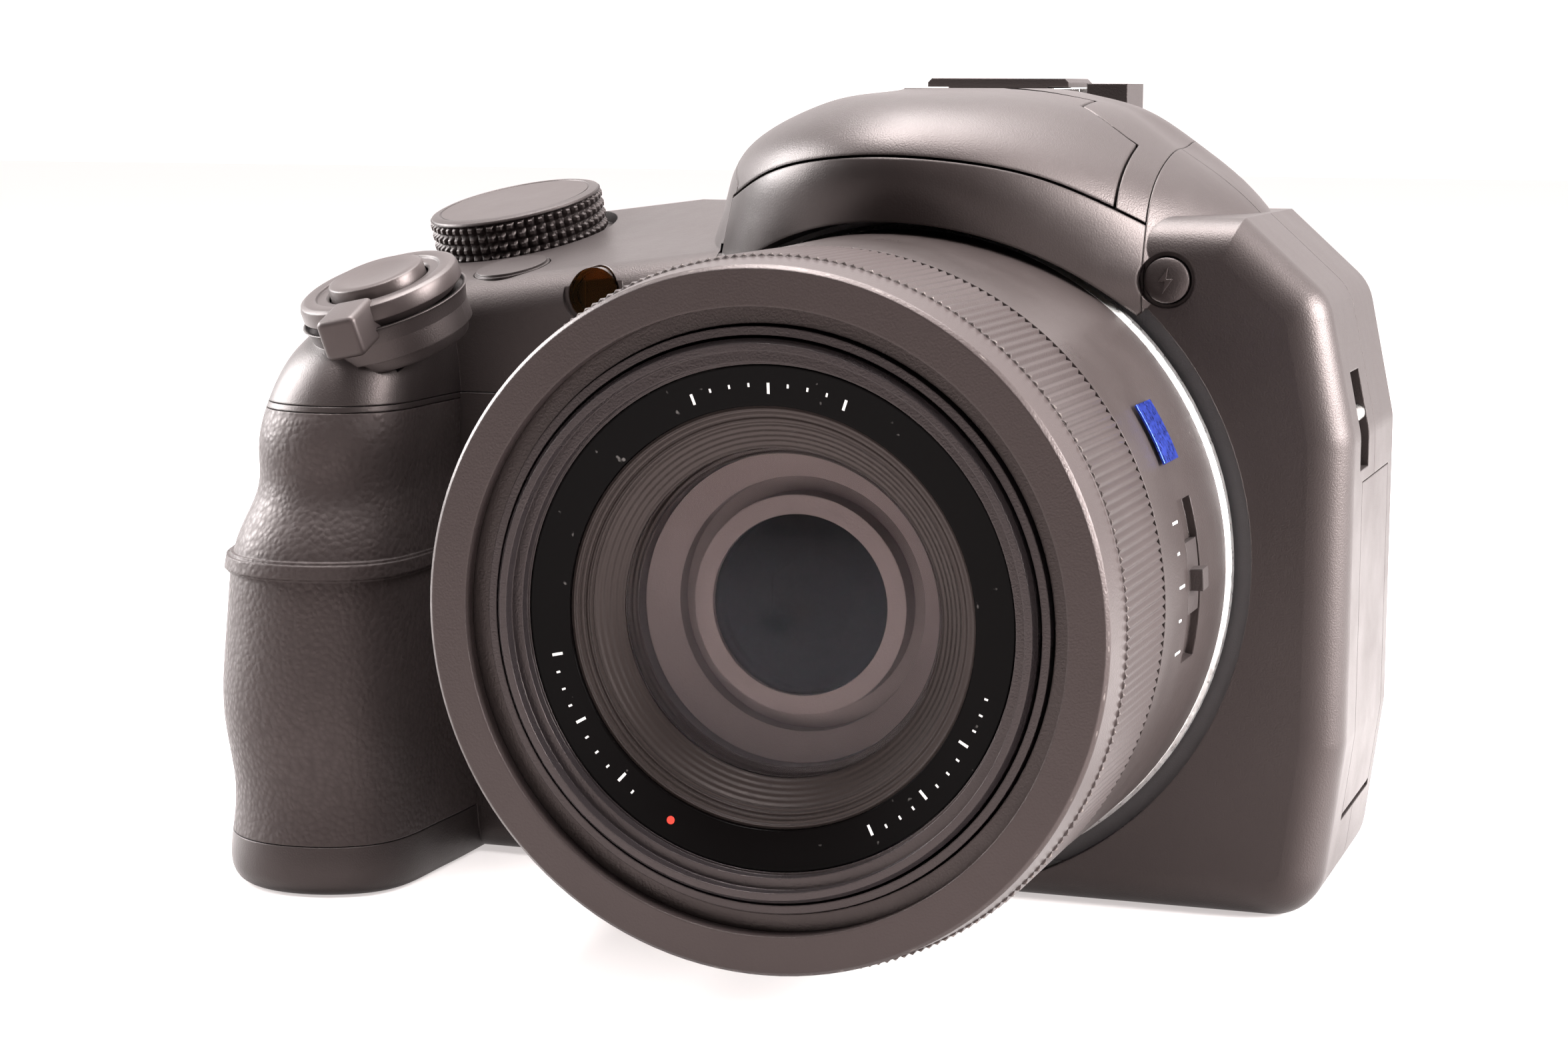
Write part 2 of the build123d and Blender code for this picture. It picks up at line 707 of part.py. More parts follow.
def push_button(plane, radius, rise, under=wall):
    plug(plane, radius, -under - button_gap - keeper_thick, rise - button_edge)
    plug(plane, radius - button_edge, rise - button_edge, rise)
    plug(plane, radius + keeper_lip, -under - button_gap - keeper_thick, -under - button_gap)


# Places on the sloping deck
dial_x = -58.0
dial_y = 2.0
dial_plane = deck_plane(dial_x, dial_y)
dial_radius = 11.7
dial_sink = 1.5
dial_rise = 4.7
dial_floor = 2.4
post_radius = 2.2
post_rise = 2.6
release_tilt_share = 1.5
release_lift = 1.2
release_x = -60.0
release_y = -33.0
release_plane = deck_plane(release_x, release_y, level=deck_level(release_x, release_y) + release_lift,
                           share=release_tilt_share)
lever_radius = 9.5
lever_rise = 3.4
tube_radius = 7.4
tube_rise = 2.2
shutter_radius = 5.75
shutter_rise = 4.4
oval_x = -52.0
oval_y = -15.2
oval_radius = 4.6
oval_rise = 0.35
oval_plane = deck_plane(oval_x, oval_y)
power_x = -35.0
power_z = 66.0
power_radius = 3.6
power_rise = 0.4
power_plane = Plane(origin=(power_x, back_reach, power_z), x_dir=(-1, 0, 0), z_dir=(0, 1, 0))
# The single push buttons of the top cover: plane, radius and rise
cover_buttons = {"custom_button": (oval_plane, oval_radius, oval_rise),
                 "power_button": (power_plane, power_radius, power_rise)}

with top_cover:
    # A cup for the mode dial, with a post for it to turn on
    with BuildPart(mode=Mode.PRIVATE) as dial_cup:
        plug(dial_plane, dial_radius + running_gap + overrun, -dial_sink - dial_floor, -cover_gap)
        add(outer_form, mode=Mode.INTERSECT)
    add(dial_cup.part)
    plug(dial_plane, dial_radius + running_gap, -dial_sink, dial_rise, Mode.SUBTRACT)
    plug(dial_plane, post_radius, -dial_sink - dial_floor / 2, post_rise)
    # A raised seat for the zoom lever, with a tube round the shutter button
    plug(release_plane, lever_radius - slide_gap, -3 * release_lift, 0)
    plug(release_plane, tube_radius, -3 * release_lift, tube_rise)
    plug(release_plane, shutter_radius + button_gap, -5 * release_lift, 2 * tube_rise, Mode.SUBTRACT)
    plug(release_plane, shutter_radius + keeper_lip + button_gap, -5 * release_lift, -3 * release_lift,
         Mode.SUBTRACT)
    for plane, radius, rise in cover_buttons.values():
        plug(plane, radius + button_gap, -3 * wall, 3 * wall, Mode.SUBTRACT)
        plug(plane, radius + keeper_lip + button_gap, -3 * wall, -wall - half_gap, Mode.SUBTRACT)
    # Lugs that hold the flash head's pins
    with BuildPart(mode=Mode.PRIVATE) as lugs:
        for side in (-1, 1):
            lug_from = side * (head_half + head_gap)
            box_between(sorted((lug_from, lug_from + side * (lug_thick + overrun))),
                        (hinge_y - 2 * lug_thick, hinge_y + 3 * lug_thick),
                        (hinge_z - 2 * lug_thick, hinge_z + lug_thick))
        add(outer_form, mode=Mode.INTERSECT)
        add(head_zone(head_gap), mode=Mode.SUBTRACT)
    add(lugs.part)
    hinge_roll(pin_radius + cover_gap / 4, head_half + head_gap + lug_thick + cover_gap, Mode.SUBTRACT)

with BuildPart() as mode_dial:
    flute_count = 48
    flute_depth = 0.3
    plug(dial_plane, dial_radius - flute_depth, -dial_sink + running_gap, dial_rise - flute_depth)
    plug(dial_plane, dial_radius - 2 * flute_depth, dial_rise - flute_depth, dial_rise)
    with BuildSketch(dial_plane.offset(flute_depth)) as flutes:
        with BuildLine():
            Polyline(*[(radius * cos(turn), radius * sin(turn)) for step in range(flute_count)
                       for radius, turn in ((dial_radius, 2 * pi * (step + 0.2) / flute_count),
                                            (dial_radius - flute_depth,
                                             2 * pi * (step + 0.8) / flute_count))],
                     close=True)
        make_face()
    extrude(flutes.sketch, amount=dial_rise - 4 * flute_depth)
    plug(dial_plane, post_radius + slide_gap / 3, -dial_sink, post_rise + running_gap, Mode.SUBTRACT)
mode_dial.part.label = "mode_dial"
export_step(mode_dial.part, "parts/mode_dial.step")

with BuildPart() as shutter_button:
    plug(release_plane, shutter_radius, -3 * release_lift - button_gap, shutter_rise - button_edge)
    plug(release_plane, shutter_radius - button_edge, shutter_rise - button_edge, shutter_rise)
    plug(release_plane, shutter_radius + keeper_lip, -3 * release_lift - button_gap - keeper_thick,
         -3 * release_lift - button_gap)
shutter_button.part.label = "shutter_button"
export_step(shutter_button.part, "parts/shutter_button.step")

# The zoom lever: a ring round the shutter button with a finger tab to the front
tab_turn = -88.0
tab_reach = 12.6
tab_width = 4.6
with BuildPart() as zoom_lever:
    plug(release_plane, lever_radius, running_gap, lever_rise)
    with BuildSketch(release_plane.offset(running_gap)) as tab:
        with Locations(Location((0, 0), tab_turn)):
            with Locations((tab_reach / 2, 0)):
                Rectangle(tab_reach, tab_width)
            with Locations((tab_reach, 0)):
                Circle(tab_width / 2)
    extrude(tab.sketch, amount=lever_rise + button_edge - running_gap)
    plug(release_plane, tube_radius + slide_gap, -overrun, tube_rise + running_gap, Mode.SUBTRACT)
    plug(release_plane, shutter_radius + button_gap, 0, 2 * lever_rise, Mode.SUBTRACT)
zoom_lever.part.label = "zoom_lever"
export_step(zoom_lever.part, "parts/zoom_lever.step")

for node, (plane, radius, rise) in cover_buttons.items():
    with BuildPart() as button:
        push_button(plane, radius, rise)
    button.part.label = node
    export_step(button.part, f"parts/{node}.step")

# On the front face: the button that lifts the flash head, and the focus lamp
flash_button_x = 29.2
flash_button_z = 71.2
flash_button_radius = 2.5
flash_button_rise = 0.5
flash_button_rim = 0.6
lamp_x = -38.8
lamp_z = 68.0
lamp_radius = 3.1
lamp_rim = 0.7
lamp_sink = 0.6
flash_button_plane = facing_front(-face_reach, flash_button_x, flash_button_z)
lamp_plane = facing_front(-face_reach, lamp_x, lamp_z)
for cover in (front_cover, front_band):
    with cover:
        plug(flash_button_plane, flash_button_radius + flash_button_rim, -flash_button_rise, 4 * wall,
             Mode.SUBTRACT)
with front_cover:
    plug(flash_button_plane, flash_button_radius + button_gap, -2 * wall, wall, Mode.SUBTRACT)
with top_cover:
    plug(lamp_plane, lamp_radius + lamp_rim, -lamp_sink, 2 * wall, Mode.SUBTRACT)
    plug(lamp_plane, lamp_radius + cover_gap, -2 * wall, wall, Mode.SUBTRACT)
with BuildPart() as flash_button:
    push_button(flash_button_plane, flash_button_radius, flash_button_rise)
flash_button.part.label = "flash_button"
export_step(flash_button.part, "parts/flash_button.step")
with BuildPart() as af_lamp:
    plug(lamp_plane, lamp_radius, -wall, -lamp_sink + cover_gap)
    plug(lamp_plane, lamp_radius - keeper_lip, -wall - keeper_thick, -wall)
af_lamp.part.label = "af_lamp"
export_step(af_lamp.part, "parts/af_lamp.step")

# The grip's leather skin, let into the front cover below the seam
skin_thick = 0.8
skin_low = 6.0
skin_right = 50.0
ridge_z = 37.6
ridge_rise = 0.7
ridge_high = 1.5


def grip_wrap(thick, gap):
    with BuildPart() as wrap:
        add(grip_form(0))
        add(grip_form(thick), mode=Mode.SUBTRACT)
        box_between((-outside, -skin_right), (-outside, -front_split - wall + gap),
                    (skin_low - gap, cap_height - skin_thick + gap), Mode.INTERSECT)
        add(block_form(0), mode=Mode.SUBTRACT)
    return wrap.part


with front_cover:
    add(grip_wrap(skin_thick + cover_gap, cover_gap), mode=Mode.SUBTRACT)
# The skin with a bead round it, where the middle finger rests
with BuildPart() as grip_skin:
    add(grip_wrap(skin_thick, 0))
    with BuildPart(mode=Mode.PRIVATE) as bead:
        for rise in (ridge_rise, ridge_rise / 2):
            half = ridge_high / 2 + ridge_rise - rise
            with BuildPart(mode=Mode.PRIVATE) as step_ring:
                add(grip_form(-rise))
                box_between((-outside, -skin_right), (-outside, -front_split - wall),
                            (ridge_z - half, ridge_z + half), Mode.INTERSECT)
            add(step_ring.part)
        add(grip_form(skin_thick / 2), mode=Mode.SUBTRACT)
        add(block_form(0), mode=Mode.SUBTRACT)
    add(bead.part)
grip_skin.part.label = "grip_skin"
export_step(grip_skin.part, "parts/grip_skin.step")

# The bottom cover is a flat plate let into the two main covers
plate_x = (-48.0, 39.0)
plate_y = (-16.5, 10.0)
socket_radius = 6.0
socket_height = 8.0
thread_radius = 2.6
thread_depth = 6.5
screw_head_radius = 1.6
screw_head_thick = 0.9
screw_radius = 0.9
screw_sink = 0.3
screw_left = -44.0
screw_right = 35.0
screw_front = -12.5
screw_rear = 6.0
screw_places = [(screw_left, screw_front), (screw_right, screw_front), (screw_left, screw_rear),
                (screw_right, screw_rear)]
floor_top = wall + cover_gap
flange_top = floor_top + 1.3
base_plane = Plane(origin=(0, 0, 0))
for cover in (front_cover, rear_cover):
    with cover:
        box_between((plate_x[0] - cover_gap, plate_x[1] + cover_gap),
                    (plate_y[0] - cover_gap, plate_y[1] + cover_gap), (-overrun, mouth_floor - cover_gap / 2),
                    Mode.SUBTRACT)
with BuildPart() as bottom_cover:
    box_between(plate_x, plate_y, (0, wall))
    plug(base_plane, socket_radius + cover_gap, -overrun, 2 * wall, Mode.SUBTRACT)
    with Locations(*[(x, y, 0) for x, y in screw_places]):
        Cylinder(screw_head_radius + cover_gap, 2 * (screw_sink + screw_head_thick), mode=Mode.SUBTRACT)
        Cylinder(screw_radius + cover_gap, 4 * wall, mode=Mode.SUBTRACT)
bottom_cover.part.label = "bottom_cover"
export_step(bottom_cover.part, "parts/bottom_cover.step")

with BuildPart() as base_screws:
    with Locations(*[(x, y, screw_sink + screw_head_thick / 2) for x, y in screw_places]):
        Cylinder(screw_head_radius, screw_head_thick)
    with Locations(*[(x, y, (screw_sink + screw_head_thick + flange_top) / 2) for x, y in screw_places]):
        Cylinder(screw_radius, flange_top - screw_sink - screw_head_thick)
base_screws.part.label = "base_screws"
export_step(base_screws.part, "parts/base_screws.step")

with BuildPart() as tripod_socket:
    plug(base_plane, socket_radius, 0, socket_height)
    plug(base_plane, thread_radius, -overrun, thread_depth, Mode.SUBTRACT)
tripod_socket.part.label = "tripod_socket"
export_step(tripod_socket.part, "parts/tripod_socket.step")

# The chassis: an upright plate behind the lens base and a foot over the bottom cover
chassis_thick = 1.4
chassis_x = (-53.0, 42.0)
chassis_top = 62.0
foot_y = (-13.8, 8.0)
post_left = -40.0
post_right = 38.0
post_low = 18.0
post_high = 56.0
post_places = [(post_left, post_low), (post_right, post_low), (post_left, post_high), (post_right, post_high)]
main_board_front = 2.0
main_board_thick = 1.6
with BuildPart() as chassis:
    box_between(chassis_x, (-chassis_front, -chassis_front + chassis_thick), (floor_top, chassis_top))
    box_between((plate_x[0], plate_x[1]), foot_y, (floor_top, flange_top))
    for x, z in post_places:
        plug(facing_front(-chassis_front + chassis_thick, x, z), 2 * screw_radius,
             -main_board_front - chassis_front + chassis_thick, 0)
    plug(base_plane, socket_radius + cover_gap, 0, socket_height + cover_gap, Mode.SUBTRACT)
    with Locations(*[(x, y, floor_top) for x, y in screw_places]):
        Cylinder(screw_radius + cover_gap / 3, 4 * wall, mode=Mode.SUBTRACT)
chassis.part.label = "chassis"
export_step(chassis.part, "parts/chassis.step")

# The main board with its chips
board_x = (-44.0, 42.0)
board_z = (14.0, 60.0)
# Each chip: its centre as shares of the board's width and height, its side as a share of the height
chip_shares = [(0.30, 0.56, 0.30), (0.60, 0.60, 0.26), (0.40, 0.22, 0.20), (0.74, 0.22, 0.22)]
chip_thick = 1.3
with BuildPart() as main_board:
    box_between(board_x, (main_board_front, main_board_front + main_board_thick), board_z)
    for x_share, z_share, side_share in chip_shares:
        x = board_x[0] + x_share * (board_x[1] - board_x[0])
        z = board_z[0] + z_share * (board_z[1] - board_z[0])
        side = side_share * (board_z[1] - board_z[0])
        box_between((x - side / 2, x + side / 2),
                    (main_board_front + main_board_thick, main_board_front + main_board_thick + chip_thick),
                    (z - side / 2, z + side / 2))
main_board.part.label = "main_board"
export_step(main_board.part, "parts/main_board.step")

# The motor that drives the zoom stands beside the lens base, on the chassis
motor_x = -41.5
motor_z = 14.0
motor_radius = 4.5
motor_length = 12.0
with BuildPart() as zoom_motor:
    plug(facing_front(-chassis_front, motor_x, motor_z), motor_radius, 0, motor_length)
    plug(facing_front(-chassis_front, motor_x, motor_z), motor_radius / 4, 0, motor_length + 2 * overrun)
zoom_motor.part.label = "zoom_motor"
export_step(zoom_motor.part, "parts/zoom_motor.step")

# The battery and the card stand side by side in a tray in the grip, over a door
battery_x = (-71.0, -61.8)
battery_y = (-35.8, -5.8)
battery_z = (3.0, 45.6)
card_x = (-60.6, -58.5)
card_y = (-34.0, -10.0)
card_z = (3.0, 35.0)
tray_wall = 1.0
tray_x = (battery_x[0] - tray_wall - slide_gap, card_x[1] + tray_wall + slide_gap)
tray_y = (battery_y[0] - tray_wall - slide_gap, -chassis_front)
tray_z = (floor_top, battery_z[1] + tray_wall + slide_gap)
with BuildPart() as battery:
    box_between(battery_x, battery_y, battery_z)
    fillet(battery.edges().filter_by(Axis.Z), radius=overrun)
battery.part.label = "battery"
export_step(battery.part, "parts/battery.step")

with BuildPart() as memory_card:
    card_corner = 3.0
    side_prism([(card_y[0], card_z[0]), (card_y[1], card_z[0]), (card_y[1], card_z[1] - card_corner),
                (card_y[1] - card_corner, card_z[1]), (card_y[0], card_z[1])], card_x[0], card_x[1])
memory_card.part.label = "memory_card"
export_step(memory_card.part, "parts/memory_card.step")

with BuildPart() as battery_holder:
    box_between(tray_x, tray_y, tray_z)
    box_between((battery_x[0] - slide_gap, battery_x[1] + slide_gap / 2),
                (battery_y[0] - slide_gap, battery_y[1] + slide_gap), (0, battery_z[1] + slide_gap),
                Mode.SUBTRACT)
    box_between((card_x[0] - slide_gap / 2, card_x[1] + slide_gap),
                (card_y[0] - slide_gap, card_y[1] + slide_gap), (0, card_z[1] + slide_gap), Mode.SUBTRACT)
battery_holder.part.label = "battery_holder"
export_step(battery_holder.part, "parts/battery_holder.step")

# The battery door swings down on a rounded edge with two stub pins
door_x = (-74.0, -57.4)
door_y = (-38.0, -5.0)
door_thick = 1.6
door_axis_x = door_x[0] + door_thick / 2
stub_radius = 0.45
stub_reach = 1.2


# A bar of round section along Y
def bar_along(x, z, radius, y_from, y_to, mode=Mode.ADD):
    plug(facing_front(y_to, x, z), radius, 0, y_to - y_from, mode)


with front_cover:
    box_between((door_x[0] - button_gap, door_x[1] + button_gap),
                (door_y[0] - button_gap, door_y[1] + button_gap), (-overrun, floor_top), Mode.SUBTRACT)
    bar_along(door_axis_x, door_thick / 2, stub_radius + cover_gap / 2, door_y[0] - button_gap - stub_reach,
              door_y[1] + button_gap + stub_reach, Mode.SUBTRACT)
latch_x = (-61.5, -58.6)
latch_y = (-25.0, -18.0)
latch_thick = 0.7
latch_travel = 0.7
with BuildPart() as battery_door:
    box_between((door_axis_x, door_x[1]), door_y, (0, door_thick))
    bar_along(door_axis_x, door_thick / 2, door_thick / 2, *door_y)
    bar_along(door_axis_x, door_thick / 2, stub_radius, door_y[0] - stub_reach, door_y[1] + stub_reach)
    box_between((latch_x[0] - latch_travel - cover_gap, latch_x[1] + latch_travel / 2),
                (latch_y[0] - cover_gap, latch_y[1] + cover_gap), (-overrun, latch_thick + cover_gap),
                Mode.SUBTRACT)
battery_door.part.label = "battery_door"
export_step(battery_door.part, "parts/battery_door.step")
with BuildPart() as battery_latch:
    box_between(latch_x, latch_y, (cover_gap / 2, latch_thick))
battery_latch.part.label = "battery_latch"
export_step(battery_latch.part, "parts/battery_latch.step")

# The terminal door on the right-hand side hinges down on a rounded lower edge
side_door_y = (-11.5, 8.0)
side_door_z = (10.0, 48.5)
side_door_thick = 1.4
lean_share = base_lean / base_side


# The outline of the side wall between two heights, from outside it to a depth within it
def side_outline(low, high, depth):
    low_x = right_reach - lean_share * (base_side - low)
    return [(right_reach + overrun, low), (right_reach + overrun, high), (right_reach - depth, high),
            (right_reach - depth, base_side), (low_x - depth, low)]


side_axis_x = right_reach - lean_share * (base_side - side_door_z[0]) - side_door_thick / 2
side_axis_z = side_door_z[0] + side_door_thick / 2
for cover in (front_cover, rear_cover):
    with cover:
        front_prism(side_outline(side_door_z[0] - button_gap, side_door_z[1] + button_gap, 2 * wall),
                    side_door_y[0] - button_gap, side_door_y[1] + button_gap, Mode.SUBTRACT)
        bar_along(side_axis_x, side_axis_z, stub_radius + cover_gap / 2,
                  side_door_y[0] - button_gap - stub_reach, side_door_y[1] + button_gap + stub_reach,
                  Mode.SUBTRACT)
with BuildPart() as terminal_door:
    front_prism(side_outline(side_axis_z, side_door_z[1], side_door_thick), *side_door_y)
    add(outer_form, mode=Mode.INTERSECT)
    bar_along(side_axis_x, side_axis_z, side_door_thick / 2, *side_door_y)
    bar_along(side_axis_x, side_axis_z, stub_radius, side_door_y[0] - stub_reach, side_door_y[1] + stub_reach)
terminal_door.part.label = "terminal_door"
export_step(terminal_door.part, "parts/terminal_door.step")

# The sockets behind it stand at the main board's edge
sockets_x = (board_x[1] + cover_gap, 46.8)
sockets_y = (-9.0, 5.5)
sockets_z = (15.0, 45.0)
# Each socket: height of its centre, half its width and half its height, as shares of the block's height
socket_shares = [(0.75, 0.067, 0.167), (0.367, 0.053, 0.107), (0.12, 0.05, 0.05)]
with BuildPart() as connector_block:
    box_between(sockets_x, sockets_y, sockets_z)
    block_high = sockets_z[1] - sockets_z[0]
    for level_share, width_share, height_share in socket_shares:
        level = sockets_z[0] + level_share * block_high
        box_between((sockets_x[0] + wall / 2, sockets_x[1] + overrun),
                    (-width_share * block_high - overrun, width_share * block_high - overrun),
                    (level - height_share * block_high, level + height_share * block_high), Mode.SUBTRACT)
connector_block.part.label = "connector_block"
export_step(connector_block.part, "parts/connector_block.step")

# Strap lugs: a bar across a groove on each side
lug_y = (-13.5, -7.5)
lug_low = 50.0
lug_high = 61.0
lug_bar_z = 56.0
lug_depth = 2.7
lug_wall = 0.9
bar_radius = 0.9
left_lug_y = (1.0, 7.0)
left_lug_drop = 8.0
lug_bar_x = right_reach - 1.4
left_bar_x = -left_reach + 2.4
with front_cover:
    with BuildPart(mode=Mode.PRIVATE) as liner:
        box_between((right_reach - lug_depth - lug_wall, right_reach + overrun),
                    (lug_y[0] - lug_wall, lug_y[1] + lug_wall), (lug_low - lug_wall, lug_high + lug_wall))
        add(outer_form, mode=Mode.INTERSECT)
    add(liner.part)
    box_between((right_reach - lug_depth, right_reach + overrun), lug_y, (lug_low, lug_high), Mode.SUBTRACT)
    bar_along(lug_bar_x, lug_bar_z, bar_radius + cover_gap / 4, lug_y[0] - lug_wall / 2,
              lug_y[1] + lug_wall / 2, Mode.SUBTRACT)
with rear_cover:
    with BuildPart(mode=Mode.PRIVATE) as liner:
        box_between((-left_reach - overrun, -left_reach + overrun + lug_depth + lug_wall),
                    (left_lug_y[0] - lug_wall, left_lug_y[1] + lug_wall),
                    (lug_low - left_lug_drop - lug_wall, lug_high - left_lug_drop + lug_wall))
        add(outer_form, mode=Mode.INTERSECT)
    add(liner.part)
    box_between((-left_reach - overrun, -left_reach + overrun + lug_depth), left_lug_y,
                (lug_low - left_lug_drop, lug_high - left_lug_drop), Mode.SUBTRACT)
    bar_along(left_bar_x, lug_bar_z - left_lug_drop, bar_radius + cover_gap / 4, left_lug_y[0] - lug_wall / 2,
              left_lug_y[1] + lug_wall / 2, Mode.SUBTRACT)
with BuildPart() as strap_lugs:
    bar_along(lug_bar_x, lug_bar_z, bar_radius, lug_y[0] - lug_wall / 2, lug_y[1] + lug_wall / 2)
    bar_along(left_bar_x, lug_bar_z - left_lug_drop, bar_radius, left_lug_y[0] - lug_wall / 2,
              left_lug_y[1] + lug_wall / 2)
strap_lugs.part.label = "strap_lugs"
export_step(strap_lugs.part, "parts/strap_lugs.step")

# The finder's housing behind the hump, with the shoe's pocket in its top
finder_half = 15.5
finder_low = 64.0
finder_back = 26.4
finder_top = 90.6
finder_chamfer = 3.0
hump_end_y = back_reach - block_back_round / 2
finder_z = 76.0
finder_open = (18.0, 13.0)
shoe_half = 10.5
shoe_front = 13.2
shoe_back = 26.2
shoe_floor = 89.2
pod_x = (11.4, 16.4)
pod_y = (13.2, 22.0)
pod_top = 92.6
with BuildPart() as evf_housing:
    front_prism([(-finder_half, finder_low), (finder_half, finder_low),
                 (finder_half, finder_top - finder_chamfer),
                 (finder_half - finder_chamfer, finder_top), (finder_chamfer - finder_half, finder_top),
                 (-finder_half, finder_top - finder_chamfer)], hump_end_y + cover_gap, finder_back)
    fillet(evf_housing.faces().sort_by(Axis.Y)[-1].edges(), radius=overrun)
    box_between((-outside, outside), (0, back_reach + cover_gap), (0, shoulder_height + cover_gap),
                Mode.SUBTRACT)
    box_between(pod_x, pod_y, (finder_top - finder_chamfer, pod_top))
    with BuildSketch(facing_front(outside, z=finder_z)) as opening:
        RectangleRounded(*finder_open, radius=2 * overrun)
    extrude(opening.sketch, amount=2 * outside, mode=Mode.SUBTRACT)
    box_between((-shoe_half - cover_gap, shoe_half + cover_gap), (hump_end_y - overrun, outside),
                (shoe_floor - cover_gap, above), Mode.SUBTRACT)

eyecup_half = 17.0
eyecup_low = 64.6
eyecup_high = 87.4
cup_spigot = 1.2
with BuildPart() as eyecup:
    with BuildSketch(facing_front(eyecup_reach, z=(eyecup_low + eyecup_high) / 2)) as outline:
        RectangleRounded(2 * eyecup_half, eyecup_high - eyecup_low, radius=5 * overrun)
    extrude(amount=eyecup_reach - finder_back - cover_gap)
    fillet(eyecup.faces().sort_by(Axis.Y)[-1].edges(), radius=0.9 * overrun)
    with BuildSketch(facing_front(finder_back + cover_gap, z=finder_z)) as spigot:
        RectangleRounded(finder_open[0] - cover_gap, finder_open[1] - cover_gap, radius=2 * overrun)
    extrude(spigot.sketch, amount=cup_spigot)
    with BuildSketch(facing_front(outside, z=finder_z)) as opening:
        RectangleRounded(finder_open[0] - 2 * cup_spigot, finder_open[1] - 2 * cup_spigot, radius=overrun)
    extrude(opening.sketch, amount=2 * outside, mode=Mode.SUBTRACT)
eyecup.part.label = "eyecup"
export_step(eyecup.part, "parts/eyecup.step")

# Inside the finder are an eyepiece lens and a small display against the casing
eyepiece_back = 22.4
eyepiece_thick = 2.2
finder_display_thick = 1.4
with BuildPart() as eyepiece_lens:
    with BuildSketch(facing_front(eyepiece_back, z=finder_z)) as outline:
        RectangleRounded(finder_open[0] - cover_gap, finder_open[1] - cover_gap, radius=2 * overrun)
    extrude(amount=eyepiece_thick)
eyepiece_lens.part.label = "eyepiece_lens"
export_step(eyepiece_lens.part, "parts/eyepiece_lens.step")
with BuildPart() as finder_display:
    with BuildSketch(facing_front(back_reach + cover_gap + finder_display_thick, z=finder_z)) as outline:
        RectangleRounded(finder_open[0] - cover_gap, finder_open[1] - cover_gap, radius=2 * overrun)
    extrude(amount=finder_display_thick)
finder_display.part.label = "finder_display"
export_step(finder_display.part, "parts/finder_display.step")

# The accessory shoe and the cover that slides out of it to the back
shoe_plate = 0.8
slot_half = 9.3
lip_half = 6.4
lip_low = 91.05
lip_top = 92.0
shoe_cap_half = 8.9
shoe_cap_low = 92.15
with BuildPart() as accessory_shoe:
    box_between((-shoe_half, shoe_half), (shoe_front, shoe_back), (shoe_floor, lip_top))
    box_between((-slot_half, slot_half), (shoe_front + shoe_plate, outside),
                (shoe_floor + shoe_plate, lip_low), Mode.SUBTRACT)
    box_between((-lip_half, lip_half), (shoe_front + shoe_plate, outside), (shoe_floor + shoe_plate, above),
                Mode.SUBTRACT)
accessory_shoe.part.label = "accessory_shoe"
export_step(accessory_shoe.part, "parts/accessory_shoe.step")
with BuildPart() as shoe_cover:
    cover_y = (shoe_front + shoe_plate + button_gap, shoe_back)
    box_between((-slot_half + button_gap, slot_half - button_gap), cover_y,
                (shoe_floor + shoe_plate + cover_gap / 2, lip_low - cover_gap))
    box_between((-lip_half + button_gap, lip_half - button_gap), cover_y,
                (lip_low - shoe_plate, body_height - overrun / 2))
    front_prism([(-shoe_cap_half, shoe_cap_low), (shoe_cap_half, shoe_cap_low),
                 (shoe_cap_half, body_height - overrun / 2), (shoe_cap_half - overrun / 2, body_height),
                 (-shoe_cap_half + overrun / 2, body_height), (-shoe_cap_half, body_height - overrun / 2)],
                *cover_y)
shoe_cover.part.label = "shoe_cover"
export_step(shoe_cover.part, "parts/shoe_cover.step")

# The finder's focus dial turns on a stub at its right
diopter_y = 20.0
diopter_z = 82.0
diopter_radius = 4.4
diopter_thick = 1.9
diopter_teeth = 24
finder_side = Plane(origin=(finder_half, diopter_y, diopter_z), x_dir=(0, 1, 0), z_dir=(1, 0, 0))
with evf_housing:
    plug(finder_side, post_radius / 2, -overrun, diopter_thick - running_gap)
evf_housing.part.label = "evf_housing"
export_step(evf_housing.part, "parts/evf_housing.step")
with BuildPart() as diopter_dial:
    with BuildSketch(finder_side.offset(button_gap)) as rim:
        RegularPolygon(diopter_radius, diopter_teeth)
    extrude(amount=diopter_thick - button_gap)
    plug(finder_side, post_radius / 2 + slide_gap / 4, -overrun, diopter_thick - button_gap, Mode.SUBTRACT)
diopter_dial.part.label = "diopter_dial"
export_step(diopter_dial.part, "parts/diopter_dial.step")

# The rear screen tilts up on a hinged link and out on its own upper edge
link_x = (-22.0, 38.0)
link_y = (14.3, 15.5)
link_z = (7.4, 56.6)
link_thick = link_y[1] - link_y[0]
link_mid_y = (link_y[0] + link_y[1]) / 2
ear_thick = 1.7
ear_high = 1.5
ear_round = 0.35
ear_gap = 0.2
screen_x = (-28.0, 44.0)
screen_y = (15.8, 21.0)
screen_z = (7.0, 57.4)
glass_x = (-24.0, 40.0)
glass_z = (11.0, 53.6)
glass_thick = 0.8


# A bar of round section along X, at a height on the link's middle plane
def bar_across(z, radius, x_from, x_to, mode=Mode.ADD):
    with BuildSketch(Plane(origin=(x_from, link_mid_y, z), x_dir=(0, 1, 0), z_dir=(1, 0, 0))) as end:
        Circle(radius)
    extrude(end.sketch, amount=x_to - x_from, mode=mode)


with BuildPart() as lcd_link:
    box_between(link_x, link_y, link_z)
    bar_across(link_z[0], link_thick / 2, *link_x)
    bar_across(link_z[1], link_thick / 2, *link_x)
    for level in link_z:
        bar_across(level, stub_radius, link_x[0] - stub_reach, link_x[1] + stub_reach)
lcd_link.part.label = "lcd_link"
export_step(lcd_link.part, "parts/lcd_link.step")


